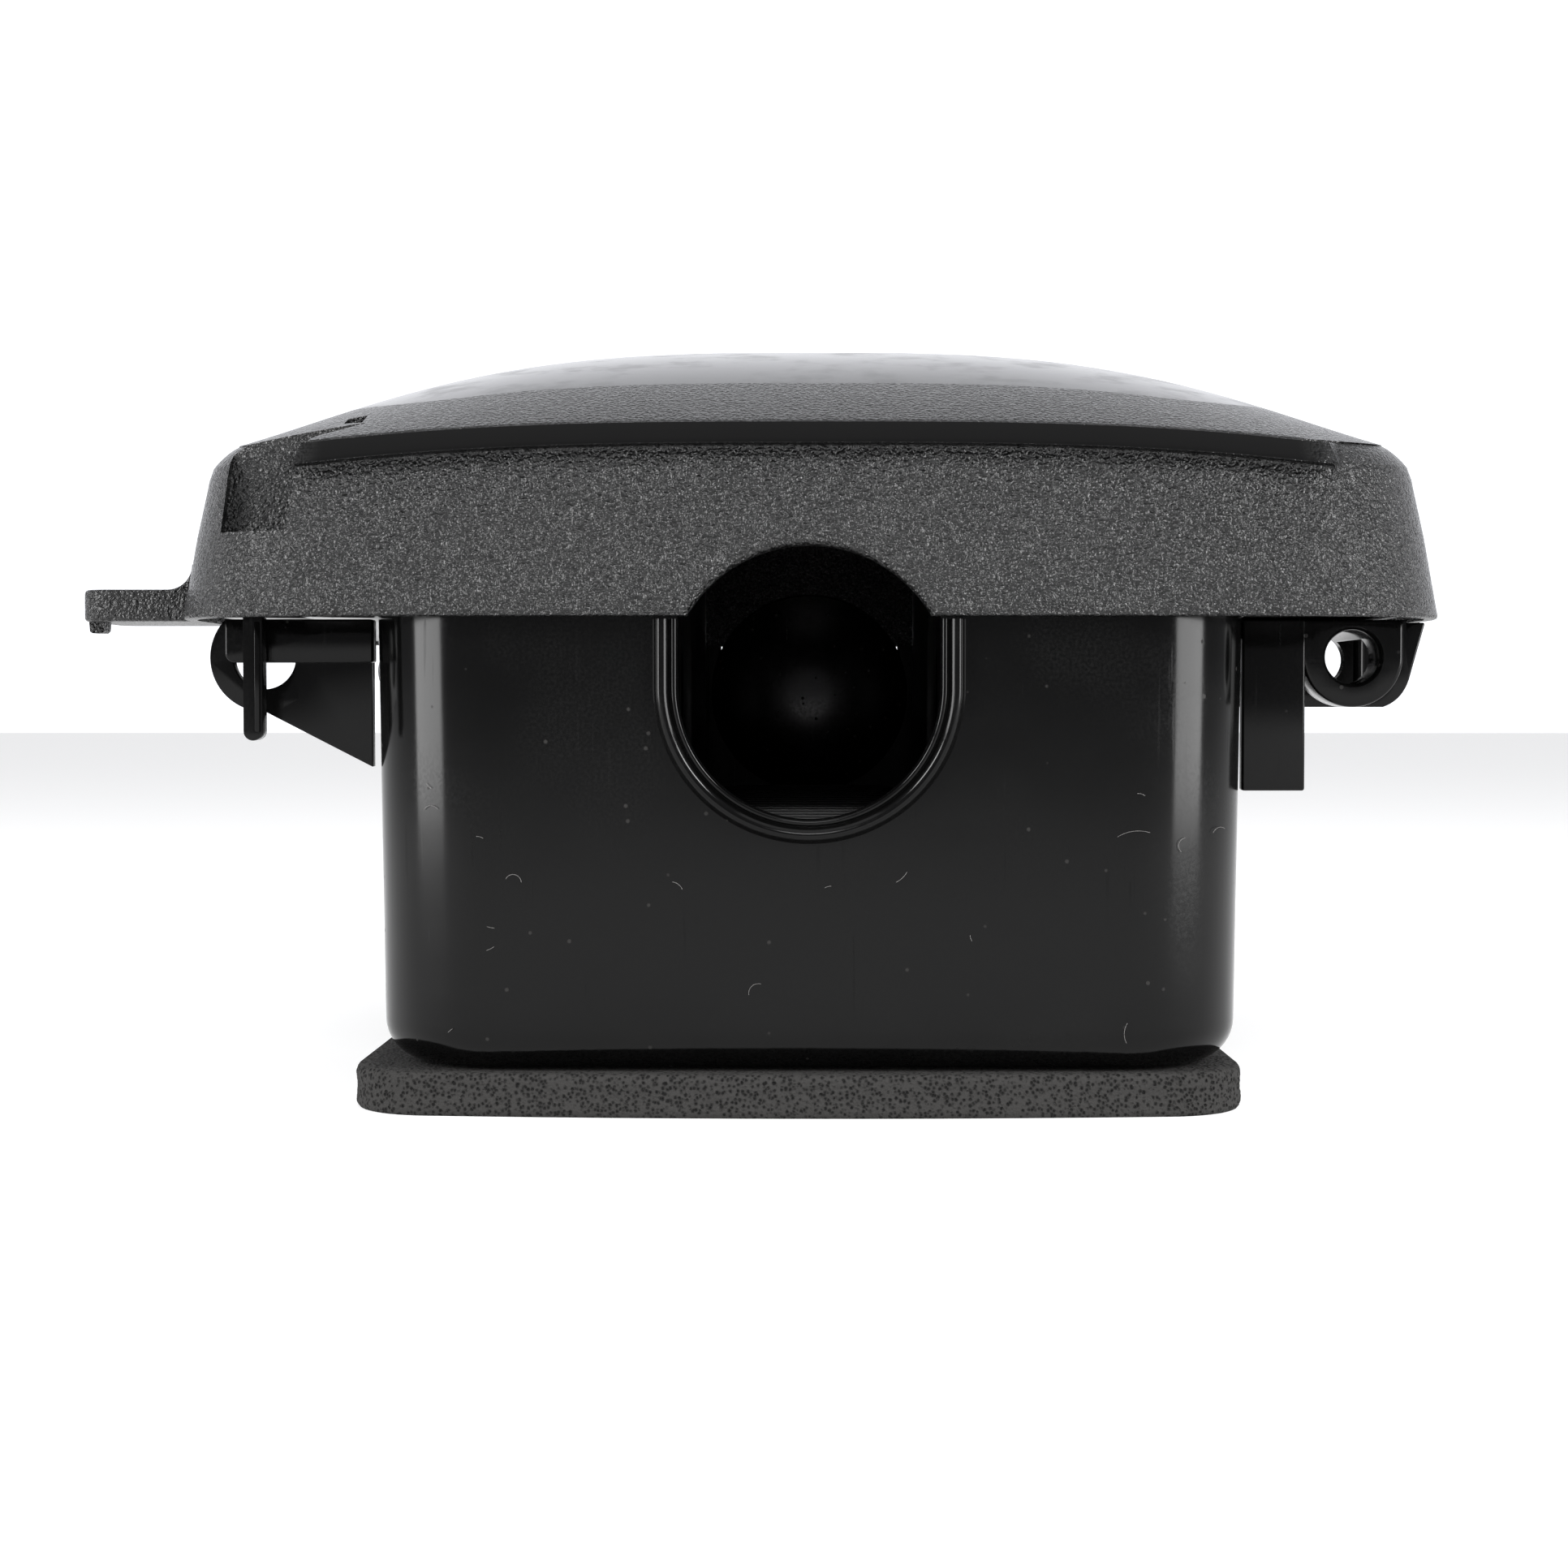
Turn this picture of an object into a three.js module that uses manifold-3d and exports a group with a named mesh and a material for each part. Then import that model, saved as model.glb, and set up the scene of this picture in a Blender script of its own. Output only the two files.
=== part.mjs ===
// A lockable rodent bait station: a deep box with a mouth in each end, a wide domed lid that
// swings on one long side, and two sprung latches on the other.
// Millimetres, +Z up. The origin is the centre of the foam pad's underside, the front mouth
// faces -Y, and the hinge is on the +X side.

import * as THREE from "three";
import * as BufferGeometryUtils from "three/addons/utils/BufferGeometryUtils.js";
import Module from "manifold-3d";

const wasm = await Module();
wasm.setup();

// ---- driving dimensions ----

const GAP = 0.3; // clearance between pieces that touch
const ROUND = 32; // sides of a large circle
const SMALL_ROUND = 16; // sides of a pin or a small hole

const PAD = { left: -75.3, right: 71.6, halfY: 106.4, bow: 2.8, corner: 14, thick: 7 };

const BOX = { halfX: 72, halfY: 107, corner: 20, draft: 1, top: 80.7, wall: 2.6, foot: 7 };
const BOX_FLOOR = PAD.thick + GAP;

const MOUTH = { radius: 21.1, z: 69.1, collar: 24.4, collarDepth: 1.8, lidRadius: 22.4, lidZ: 69.4 };

const LID = {
  rim: 80.5,
  halfX: 105,
  halfY: 110.3,
  corner: 26,
  wall: 2.2,
  roof: 2.6,
  browEnd: 84.5,
};
const ROOF_EDGE = { halfX: 95.5, halfY: 101.8, corner: 17 };
const INNER_ROOF = { halfX: 92.5, halfY: 95.6, corner: 14 };
const ROOF_SHARES = [1, 0.93, 0.84, 0.72, 0.57, 0.4, 0.22, 0.03]; // roof rings, edge to middle
const WALL_WAIST = { z: 94, halfX: 102.7, halfY: 108.2, innerHalfX: 100.5, innerHalfY: 106 };

// The shoulder between the lid's wall and its roof, going up. drop is the depth below the roof's
// edge; browY and browDrop take the place of halfY and drop on the ends, where it is undercut.
const SHOULDER_OUTSIDE = [
  { halfX: 101, halfY: 106.3, drop: 7, browDrop: 5.6 },
  { halfX: 100.2, halfY: 105.6, drop: 4.6, browDrop: 4.4 },
  { halfX: 99, halfY: 104.4, drop: 2.6, browY: 100.7, browDrop: 4.1 },
  { halfX: 97.3, halfY: 103, drop: 1.1, browY: 99.9, browDrop: 2.2 },
  { halfX: 96.3, halfY: 102.3, drop: 0.5, browY: 101.9, browDrop: 0.5 },
];
const SHOULDER_INSIDE = [
  { halfX: 98.8, halfY: 104, drop: 9.8 },
  { halfX: 97.4, halfY: 102.6, drop: 7.4 },
  { halfX: 95.2, halfY: 97.4, drop: 5.2 },
];
const LID_CORNER_STEPS = 7;
const LID_EDGE_STEPS = 9;
const DOME = { edge: 103.9, rise: 29.7, spanX: 112, powerX: 2.97, spanY: 117, powerY: 2.44 };

const FLANGE = {
  inner: 68.5,
  outer: 99,
  halfY: 104,
  corner: 20,
  z: 81,
  thick: 2.4,
  lip: 4,
  lipWidth: 2,
  lipHalfY: 80,
};
const LATCH_SLOT = { inner: -84.5, clearance: 0.2 }; // the flange is cut away round the lever

const HINGE = {
  x: 108.5,
  z: 84.2,
  radius: 4.2,
  pin: 1.6,
  bore: 1.9,
  offsetY: 30,
  knuckle: 10,
  spacing: 0.6,
};

const LATCH = {
  x: -91.5,
  z: 84,
  bar: 3.1,
  tailEnd: 60.5,
  top: 91.5,
  front: -96.4,
  back: -92.6,
  boss: 3,
  pin: 1.2,
  bore: 1.5,
  noseX: -95.3,
  nose: 3,
};
const PIN_HEAD = { radius: 2.1, thick: 0.9 };
const EAR = { front: -89.2, back: -86.8, halfX: 4.2, top: 88 };
const STRIKE = { root: -101, inner: -96, top: 86.6, thick: 2.6, front: -97.2, back: -92.8 };

const EYE = {
  x: -91.3,
  z: 74.3,
  radius: 9.1,
  hole: 5.3,
  front: -88,
  thick: 3,
  rootX: -73.2,
  rootZ: 56,
};
const SHELF = { left: -97.1, right: -72.5, bottom: 73.4, front: -91.7, corner: 1.6 };
const BRACKET_TOP = 80.6;

const LUG = { x: 91, z: 74.4, radius: 8.4, bore: 4.5, front: -87, back: -78, rootX: 72.5 };
const LUG_WEB = { foot: 52, end: 83, thick: 3 };
const LUG_CHEEK = { front: -84.5, thick: 3, top: 80.2, topX: 103.6, midX: 101.2, midZ: 71.5, footX: 96.6 };
const LUG_REAR = { front: -57, back: -54, left: 83.6, right: 101, corner: 3 };

const POCKET = {
  left: -95.6,
  leftTop: -92.4,
  right: -83.7,
  bendX: -82.7,
  bendZ: 103,
  turnX: -82,
  turnZ: 109.8,
  browX: -79.7,
  browZ: 110.4,
  tailX: -73.2,
  tailZ: 112.8,
  floor: 94.3,
  back: -98.5,
  slope: 0.28,
};
const POCKET_SKIN = 2;
const ABOVE_LID = 140;
const KEY_SLOT = { left: -91.5, right: -86, front: -102.6, back: -99 };
const NOTCH = { left: -77.2, right: -73.9, front: -95, back: -86.5, bottom: 113 }; // at the pocket's tail

const TAB = { root: -103.6, tip: -123.4, front: -84, back: -56, z: 80.5, thick: 5.4, corner: 4, fillet: 4 };
const TAB_NUB = { left: -122.9, right: -120, bottom: 78.6, length: 4 };

const TRAY = { halfX: 68, halfY: 101.4, corner: 16, z: 44.6, thick: 2.4 };
const ROD = { x: 46, y: 45, radius: 2, socket: 4.4, foot: 46, top: 102 };
const BAIT = { x: 30, y: 26, z: 24, chamfer: 2.5, hole: 3, first: 50.6, pitch: 24.6 };
const BAFFLE = { x: 24.5, thick: 2, halfY: 98, top: 100, doorHalf: 24, doorTop: 90 };
const BALLAST = { halfX: 54, halfY: 80, corner: 8, thick: 12 };
const POST = { x: 58, y: 91, radius: 4 };
const BLANK = { flange: 23.4, plug: 20.8, flangeThick: 1.9, inset: 0.5, top: 92.8 };
const CARD = { halfX: 42.2, halfY: 25, z: 126.9, thick: 0.7 };
const CARD_RAIL = { under: 1.7, outside: 1.8, depth: 2.4, height: 5 };

// ---- materials ----

function plastic(name, colour, roughness) {
  return new THREE.MeshStandardMaterial({ name, color: colour, roughness, metalness: 0 });
}

function metal(name, colour, roughness) {
  return new THREE.MeshStandardMaterial({ name, color: colour, roughness, metalness: 1 });
}

const GLOSS_BLACK = plastic("gloss_black", 0x0d0d0f, 0.25);
const GRAIN_BLACK = plastic("grain_black", 0x1c1c1d, 0.6);
const FOAM_GREY = plastic("foam_grey", 0x343231, 0.95);
const TRAY_GREY = plastic("tray_grey", 0x2a2b2c, 0.5);
const BAIT_GREEN = plastic("bait_green", 0x2c7f6a, 0.7);
const CARD_WHITE = plastic("card_white", 0xd9d8d0, 0.8);
const STEEL = metal("steel", 0xa9abae, 0.35);
const IRON = metal("iron", 0x3a3a3b, 0.7);

// ---- solids from geometry, and back ----

function solid(geometry) {
  const bare = geometry.clone();
  bare.deleteAttribute("normal");
  bare.deleteAttribute("uv");
  const merged = BufferGeometryUtils.mergeVertices(bare, 1e-4);
  return new wasm.Manifold(
    new wasm.Mesh({
      numProp: 3,
      vertProperties: new Float32Array(merged.attributes.position.array),
      triVerts: new Uint32Array(merged.index.array),
    }),
  );
}

function geometryOf(manifold) {
  const mesh = manifold.getMesh();
  const geometry = new THREE.BufferGeometry();
  geometry.setAttribute("position", new THREE.BufferAttribute(mesh.vertProperties, 3));
  geometry.setIndex(new THREE.BufferAttribute(mesh.triVerts, 1));
  geometry.computeVertexNormals();
  return geometry;
}

function joined(...solids) {
  return solids.reduce((whole, next) => whole.add(next));
}

function cut(body, ...tools) {
  return tools.reduce((rest, tool) => rest.subtract(tool), body);
}

// A closed body through a row of rings with equal counts of points, each ring anticlockwise from
// above. The row runs upwards on outer faces and downwards on inner ones.
function loft(rings) {
  const count = rings[0].length;
  const positions = rings.flat().flatMap((p) => [p.x, p.y, p.z]);
  const index = [];
  for (let ring = 0; ring < rings.length - 1; ring += 1) {
    for (let i = 0; i < count; i += 1) {
      const a = ring * count + i;
      const b = ring * count + ((i + 1) % count);
      index.push(a, b, b + count, a, b + count, a + count);
    }
  }
  const last = (rings.length - 1) * count;
  for (let i = 1; i < count - 1; i += 1) {
    index.push(0, i + 1, i);
    index.push(last, last + i, last + i + 1);
  }
  const geometry = new THREE.BufferGeometry();
  geometry.setAttribute("position", new THREE.Float32BufferAttribute(positions, 3));
  geometry.setIndex(index);
  return geometry;
}

function block(x0, x1, y0, y1, z0, z1) {
  const geometry = new THREE.BoxGeometry(x1 - x0, y1 - y0, z1 - z0);
  geometry.translate((x0 + x1) / 2, (y0 + y1) / 2, (z0 + z1) / 2);
  return solid(geometry);
}

function upright(x, y, radius, z0, z1, sides = SMALL_ROUND) {
  const geometry = new THREE.CylinderGeometry(radius, radius, z1 - z0, sides);
  geometry.rotateX(Math.PI / 2);
  geometry.translate(x, y, (z0 + z1) / 2);
  return solid(geometry);
}

// A round bar along Y.
function lengthways(x, z, radius, y0, y1, sides = SMALL_ROUND) {
  const geometry = new THREE.CylinderGeometry(radius, radius, y1 - y0, sides);
  geometry.translate(x, (y0 + y1) / 2, z);
  return solid(geometry);
}

// A flat outline in X and Y, given thickness along Z.
function slab(outline, z0, z1, curveSegments = 8) {
  const geometry = new THREE.ExtrudeGeometry(outline, {
    depth: z1 - z0,
    bevelEnabled: false,
    curveSegments,
  });
  geometry.translate(0, 0, z0);
  return solid(geometry);
}

// A flat outline in X and Z, given thickness along Y.
function plateGeometry(outline, y0, y1, curveSegments = 8) {
  const geometry = new THREE.ExtrudeGeometry(outline, {
    depth: y1 - y0,
    bevelEnabled: false,
    curveSegments,
  });
  geometry.rotateX(Math.PI / 2);
  geometry.translate(0, y1, 0);
  return geometry;
}

function plate(outline, y0, y1, curveSegments = 8) {
  return solid(plateGeometry(outline, y0, y1, curveSegments));
}

// A flat outline in Y and Z, given thickness along X.
function sideways(outline, x0, x1, curveSegments = 8) {
  const geometry = new THREE.ExtrudeGeometry(outline, {
    depth: x1 - x0,
    bevelEnabled: false,
    curveSegments,
  });
  const axes = new THREE.Matrix4().makeBasis(
    new THREE.Vector3(0, 1, 0),
    new THREE.Vector3(0, 0, 1),
    new THREE.Vector3(1, 0, 0),
  );
  geometry.applyMatrix4(axes);
  geometry.translate(x0, 0, 0);
  return solid(geometry);
}

// The same solid with front and rear exchanged.
function mirroredFrontToRear(body) {
  return body.mirror([0, 1, 0]);
}

function roundedRectangle(halfX, halfY, radius) {
  const shape = new THREE.Shape();
  const x = halfX - radius;
  const y = halfY - radius;
  shape.absarc(x, -y, radius, -Math.PI / 2, 0);
  shape.absarc(x, y, radius, 0, Math.PI / 2);
  shape.absarc(-x, y, radius, Math.PI / 2, Math.PI);
  shape.absarc(-x, -y, radius, Math.PI, 1.5 * Math.PI);
  return shape;
}

// Ring points of a rounded rectangle, anticlockwise, with the same count whatever its size.
function ringPoints(halfX, halfY, radius, cornerSteps, edgeSteps) {
  const points = [];
  const corners = [
    [1, -1],
    [1, 1],
    [-1, 1],
    [-1, -1],
  ];
  corners.forEach(([sx, sy], quarter) => {
    const cx = sx * (halfX - radius);
    const cy = sy * (halfY - radius);
    const start = (quarter - 1) * (Math.PI / 2);
    for (let step = 0; step <= cornerSteps; step += 1) {
      const angle = start + (step / cornerSteps) * (Math.PI / 2);
      points.push(new THREE.Vector2(cx + radius * Math.cos(angle), cy + radius * Math.sin(angle)));
    }
    const [nx, ny] = corners[(quarter + 1) % 4];
    const from = points[points.length - 1];
    const nextAngle = start + Math.PI / 2;
    const to = new THREE.Vector2(
      nx * (halfX - radius) + radius * Math.cos(nextAngle),
      ny * (halfY - radius) + radius * Math.sin(nextAngle),
    );
    for (let step = 1; step < edgeSteps; step += 1) {
      points.push(from.clone().lerp(to, step / edgeSteps));
    }
  });
  return points;
}

function flatRing(halfX, halfY, radius, z, cornerSteps = 6, edgeSteps = 1) {
  const outline = ringPoints(halfX, halfY, radius, cornerSteps, edgeSteps);
  return outline.map((p) => new THREE.Vector3(p.x, p.y, z));
}

// ---- base: foam pad, box and flanges ----

function foamPad() {
  const shape = new THREE.Shape();
  const middle = (PAD.left + PAD.right) / 2;
  const { left, right, halfY, bow, corner } = PAD;
  shape.moveTo(left + corner, -halfY);
  shape.quadraticCurveTo(middle, -halfY - 2 * bow, right - corner, -halfY);
  shape.absarc(right - corner, -halfY + corner, corner, -Math.PI / 2, 0);
  shape.absarc(right - corner, halfY - corner, corner, 0, Math.PI / 2);
  shape.quadraticCurveTo(middle, halfY + 2 * bow, left + corner, halfY);
  shape.absarc(left + corner, halfY - corner, corner, Math.PI / 2, Math.PI);
  shape.absarc(left + corner, -halfY + corner, corner, Math.PI, 1.5 * Math.PI);
  return slab(shape, 0, PAD.thick, 10);
}

// The mouth's outline: a half circle below, straight above.
function mouthOutline(radius, top) {
  const shape = new THREE.Shape();
  shape.moveTo(-radius, top);
  shape.lineTo(-radius, MOUTH.z);
  shape.absarc(0, MOUTH.z, radius, Math.PI, 2 * Math.PI);
  shape.lineTo(radius, top);
  return shape;
}

function boxOuter() {
  const { halfX, halfY, corner, draft, top, foot } = BOX;
  const footSteps = 4;
  const rings = [];
  for (let step = 0; step <= footSteps; step += 1) {
    const angle = (step / footSteps) * (Math.PI / 2);
    const inset = draft + foot * (1 - Math.sin(angle));
    const z = BOX_FLOOR + foot * (1 - Math.cos(angle));
    rings.push(flatRing(halfX - inset, halfY - inset + draft, corner - foot * (1 - Math.sin(angle)), z));
  }
  rings.push(flatRing(halfX, halfY, corner, top));
  return solid(loft(rings));
}

function boxCavity() {
  const { halfX, halfY, corner, draft, top, wall, foot } = BOX;
  const floor = BOX_FLOOR + wall;
  const inner = corner - wall;
  const low = draft + wall;
  return solid(
    loft([
      flatRing(halfX - low - foot + wall, halfY - wall - foot + wall, inner - foot + wall, floor),
      flatRing(halfX - low, halfY - wall, inner, floor + foot - wall),
      flatRing(halfX - wall, halfY - wall, inner, top + 1),
    ]),
  );
}

// The raised band round the front mouth.
function mouthCollar() {
  const face = -BOX.halfY;
  return plate(mouthOutline(MOUTH.collar, BOX.top - 0.5), face - MOUTH.collarDepth, face + 1, 12);
}

function baseBox() {
  const collar = mouthCollar();
  const posts = [-1, 1].flatMap((sx) =>
    [-1, 1].map((sy) => upright(sx * POST.x, sy * POST.y, POST.radius, BOX_FLOOR + 1, TRAY.z - GAP)),
  );
  const shell = cut(joined(boxOuter(), collar, mirroredFrontToRear(collar)), boxCavity());
  const throat = plate(mouthOutline(MOUTH.radius, BOX.top + 2), -BOX.halfY - 6, BOX.halfY + 6, 12);
  return cut(joined(shell, ...posts), throat);
}

// One of the two flat ledges that the lid closes over, drawn on the +X side.
function flangePlate() {
  const { inner, outer, halfY, corner, z, thick, lip, lipWidth, lipHalfY } = FLANGE;
  const shape = new THREE.Shape();
  shape.moveTo(inner, -halfY);
  shape.absarc(outer - corner, -halfY + corner, corner, -Math.PI / 2, 0);
  shape.absarc(outer - corner, halfY - corner, corner, 0, Math.PI / 2);
  shape.lineTo(inner, halfY);
  return joined(
    slab(shape, z, z + thick),
    block(outer - lipWidth, outer, -lipHalfY, lipHalfY, z + thick / 2, z + thick + lip),
  );
}

function hingeKnuckle(y0, y1) {
  return lengthways(HINGE.x, HINGE.z, HINGE.radius, y0, y1, 20);
}

function hingeBores() {
  const reach = HINGE.offsetY + 2 * HINGE.knuckle;
  return lengthways(HINGE.x, HINGE.z, HINGE.bore, -reach, reach);
}

function flangeRight() {
  const arms = [-1, 1].map((side) => {
    const y0 = side * HINGE.offsetY - HINGE.knuckle / 2;
    const y1 = y0 + HINGE.knuckle;
    const arm = block(FLANGE.outer - FLANGE.lipWidth, HINGE.x, y0, y1, FLANGE.z, FLANGE.z + FLANGE.thick);
    return joined(arm, hingeKnuckle(y0, y1));
  });
  return cut(joined(flangePlate(), ...arms), hingeBores());
}

// The latch's place in the left flange: a slot for the lever and an ear that holds its pin.
function flangeLeft() {
  const slot = block(
    -FLANGE.outer - 1,
    LATCH_SLOT.inner,
    -FLANGE.halfY - 1,
    EAR.front - LATCH_SLOT.clearance,
    FLANGE.z - 1,
    FLANGE.z + FLANGE.thick + FLANGE.lip + 1,
  );
  const ear = block(
    LATCH.x - EAR.halfX,
    LATCH.x + EAR.halfX,
    EAR.front,
    EAR.back,
    FLANGE.z + 1,
    EAR.top,
  );
  const bore = joined(
    lengthways(LATCH.x, LATCH.z, LATCH.bore, EAR.front - 1, EAR.back + 1),
    lengthways(LATCH.x, LATCH.z, PIN_HEAD.radius + GAP, EAR.back, EAR.back + PIN_HEAD.thick + 2 * GAP),
  );
  const ledge = flangePlate().mirror([1, 0, 0]);
  return cut(
    joined(cut(ledge, slot, mirroredFrontToRear(slot)), ear, mirroredFrontToRear(ear)),
    bore,
    mirroredFrontToRear(bore),
  );
}

// ---- side brackets ----

// Ring plate with a gusset down to the box, and the block that stands in front of it.
function eyeBracket() {
  const { x, z, radius, hole, front, thick, rootX, rootZ } = EYE;
  const back = front + thick;
  const ring = lengthways(x, z, radius, front, back, ROUND);
  const gusset = new THREE.Shape();
  gusset.moveTo(x, z - radius + 0.1);
  gusset.lineTo(rootX, rootZ);
  gusset.lineTo(rootX, BRACKET_TOP);
  gusset.lineTo(x, BRACKET_TOP);
  const shelf = new THREE.Shape();
  shelf.moveTo(SHELF.left, BRACKET_TOP);
  shelf.lineTo(SHELF.left, SHELF.bottom + SHELF.corner);
  shelf.absarc(SHELF.left + SHELF.corner, SHELF.bottom + SHELF.corner, SHELF.corner, Math.PI, 1.5 * Math.PI);
  shelf.lineTo(SHELF.right, SHELF.bottom);
  shelf.lineTo(SHELF.right, BRACKET_TOP);
  const flat = block(x - 2 * radius, rootX, front - 1, back + 1, BRACKET_TOP, z + 2 * radius);
  const plateWithHole = cut(
    joined(ring, plate(gusset, front, back)),
    flat,
    lengthways(x, z, hole, front - 1, back + 1, ROUND),
  );
  return joined(plateWithHole, plate(shelf, SHELF.front, front));
}

// A web, a short hollow barrel on a slanting cheek, and a second plate with the same bore behind.
function lugBracket() {
  const { x, z, radius, bore, front, back, rootX } = LUG;
  const foot = z - radius;
  const web = block(rootX, LUG_WEB.end, front, front + LUG_WEB.thick, LUG_WEB.foot, BRACKET_TOP);
  const roofPlate = block(
    rootX,
    LUG_REAR.right - 1,
    front + 1,
    LUG_REAR.back,
    BRACKET_TOP - LUG_WEB.thick,
    BRACKET_TOP,
  );
  const barrel = new THREE.Shape();
  barrel.moveTo(x - radius, BRACKET_TOP);
  barrel.lineTo(x - radius, z);
  barrel.absarc(x, z, radius, Math.PI, 2 * Math.PI);
  barrel.lineTo(x + radius, BRACKET_TOP);
  const cheek = new THREE.Shape();
  cheek.moveTo(x, LUG_CHEEK.top);
  cheek.lineTo(x, foot);
  cheek.lineTo(LUG_CHEEK.footX, foot);
  cheek.quadraticCurveTo(LUG_CHEEK.midX - 1, foot + 1.2, LUG_CHEEK.midX, LUG_CHEEK.midZ);
  cheek.lineTo(LUG_CHEEK.topX, LUG_CHEEK.top);
  const rear = new THREE.Shape();
  const { left, right, corner } = LUG_REAR;
  rear.moveTo(left, BRACKET_TOP);
  rear.lineTo(left, foot);
  rear.lineTo(right - corner, foot);
  rear.absarc(right - corner, foot + corner, corner, -Math.PI / 2, 0);
  rear.lineTo(right, BRACKET_TOP);
  const body = joined(
    web,
    roofPlate,
    plate(barrel, front, back, 12),
    plate(cheek, LUG_CHEEK.front, LUG_CHEEK.front + LUG_CHEEK.thick),
    plate(rear, LUG_REAR.front, LUG_REAR.back, 6),
  );
  return cut(body, lengthways(x, z, bore, front - 1, LUG_REAR.back + 1, 24));
}

// ---- inside the box ----

function rearEntryBlank() {
  const inside = BOX.halfY - BOX.wall - GAP;
  const stadium = new THREE.Shape();
  const upper = BLANK.top - BLANK.flange;
  stadium.absarc(0, MOUTH.z, BLANK.flange, Math.PI, 2 * Math.PI);
  stadium.absarc(0, upper, BLANK.flange, 0, Math.PI);
  return joined(
    plate(stadium, inside - BLANK.flangeThick, inside, 12),
    plate(mouthOutline(BLANK.plug, BOX.top), inside - 0.5, BOX.halfY - BLANK.inset, 12),
  );
}

function ballastPlate() {
  const z = BOX_FLOOR + BOX.wall + GAP;
  return slab(roundedRectangle(BALLAST.halfX, BALLAST.halfY, BALLAST.corner), z, z + BALLAST.thick, 5);
}

function rodPlaces() {
  return [
    ["front_left", -1, -1],
    ["front_right", 1, -1],
    ["rear_left", -1, 1],
    ["rear_right", 1, 1],
  ].map(([name, sx, sy]) => ({ name, x: sx * ROD.x, y: sy * ROD.y }));
}

function runwayTray() {
  const top = TRAY.z + TRAY.thick;
  const floor = slab(roundedRectangle(TRAY.halfX, TRAY.halfY, TRAY.corner), TRAY.z, top);
  const socketTop = BAIT.first - GAP;
  const sockets = rodPlaces().map(({ x, y }) => upright(x, y, ROD.socket, top - 1, socketTop));
  const holes = rodPlaces().map(({ x, y }) =>
    upright(x, y, ROD.radius + GAP, ROD.foot - GAP, socketTop + 1),
  );
  return cut(joined(floor, ...sockets), ...holes);
}

// A wall of the middle lane with a round-topped doorway, drawn on the +X side.
function laneBaffle() {
  const foot = TRAY.z + TRAY.thick + GAP;
  const { x, thick, halfY, top, doorHalf, doorTop } = BAFFLE;
  const spring = doorTop - doorHalf;
  const wall = new THREE.Shape();
  wall.moveTo(-halfY, foot);
  wall.lineTo(-doorHalf, foot);
  wall.lineTo(-doorHalf, spring);
  wall.absarc(0, spring, doorHalf, Math.PI, 0, true);
  wall.lineTo(doorHalf, foot);
  wall.lineTo(halfY, foot);
  wall.lineTo(halfY, top);
  wall.lineTo(-halfY, top);
  return sideways(wall, x, x + thick, 8);
}

function baitRod({ x, y }) {
  const tip = 1;
  const profile = [
    new THREE.Vector2(0, ROD.foot),
    new THREE.Vector2(ROD.radius, ROD.foot),
    new THREE.Vector2(ROD.radius, ROD.top - tip),
    new THREE.Vector2(ROD.radius - tip, ROD.top),
    new THREE.Vector2(0, ROD.top),
  ];
  const geometry = new THREE.LatheGeometry(profile, 12);
  geometry.rotateX(Math.PI / 2);
  geometry.translate(x, y, 0);
  return solid(geometry);
}

function baitBlock({ x, y }, z) {
  const outline = new THREE.Shape();
  const { chamfer } = BAIT;
  const halfX = BAIT.x / 2;
  const halfY = BAIT.y / 2;
  outline.moveTo(-halfX + chamfer, -halfY);
  outline.lineTo(halfX - chamfer, -halfY);
  outline.lineTo(halfX, -halfY + chamfer);
  outline.lineTo(halfX, halfY - chamfer);
  outline.lineTo(halfX - chamfer, halfY);
  outline.lineTo(-halfX + chamfer, halfY);
  outline.lineTo(-halfX, halfY - chamfer);
  outline.lineTo(-halfX, -halfY + chamfer);
  const bar = slab(outline, z, z + BAIT.z).translate([x, y, 0]);
  return cut(bar, upright(x, y, BAIT.hole, z - 1, z + BAIT.z + 1, 12));
}

// ---- latches ----

function latchLever() {
  const { x, z, bar, tailEnd, top, front, back, boss, bore, noseX, nose } = LATCH;
  const half = bar / 2;
  const outline = new THREE.Shape();
  outline.moveTo(x - half, tailEnd + half);
  outline.absarc(x, tailEnd + half, half, Math.PI, 2 * Math.PI);
  outline.lineTo(x + half, top);
  outline.lineTo(x - half, top);
  outline.lineTo(noseX, top - nose / 2);
  outline.lineTo(noseX, top - nose);
  outline.lineTo(x - half, top - nose);
  const body = joined(plate(outline, front, back, 6), lengthways(x, z, boss, front, back, 20));
  return cut(body, lengthways(x, z, bore, front - 1, back + 1));
}

function latchPin() {
  const { radius, thick } = PIN_HEAD;
  const front = LATCH.front - GAP;
  const back = EAR.back + GAP;
  return joined(
    lengthways(LATCH.x, LATCH.z, LATCH.pin, front, back),
    lengthways(LATCH.x, LATCH.z, radius, front - thick, front),
    lengthways(LATCH.x, LATCH.z, radius, back, back + thick),
  );
}

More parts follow.
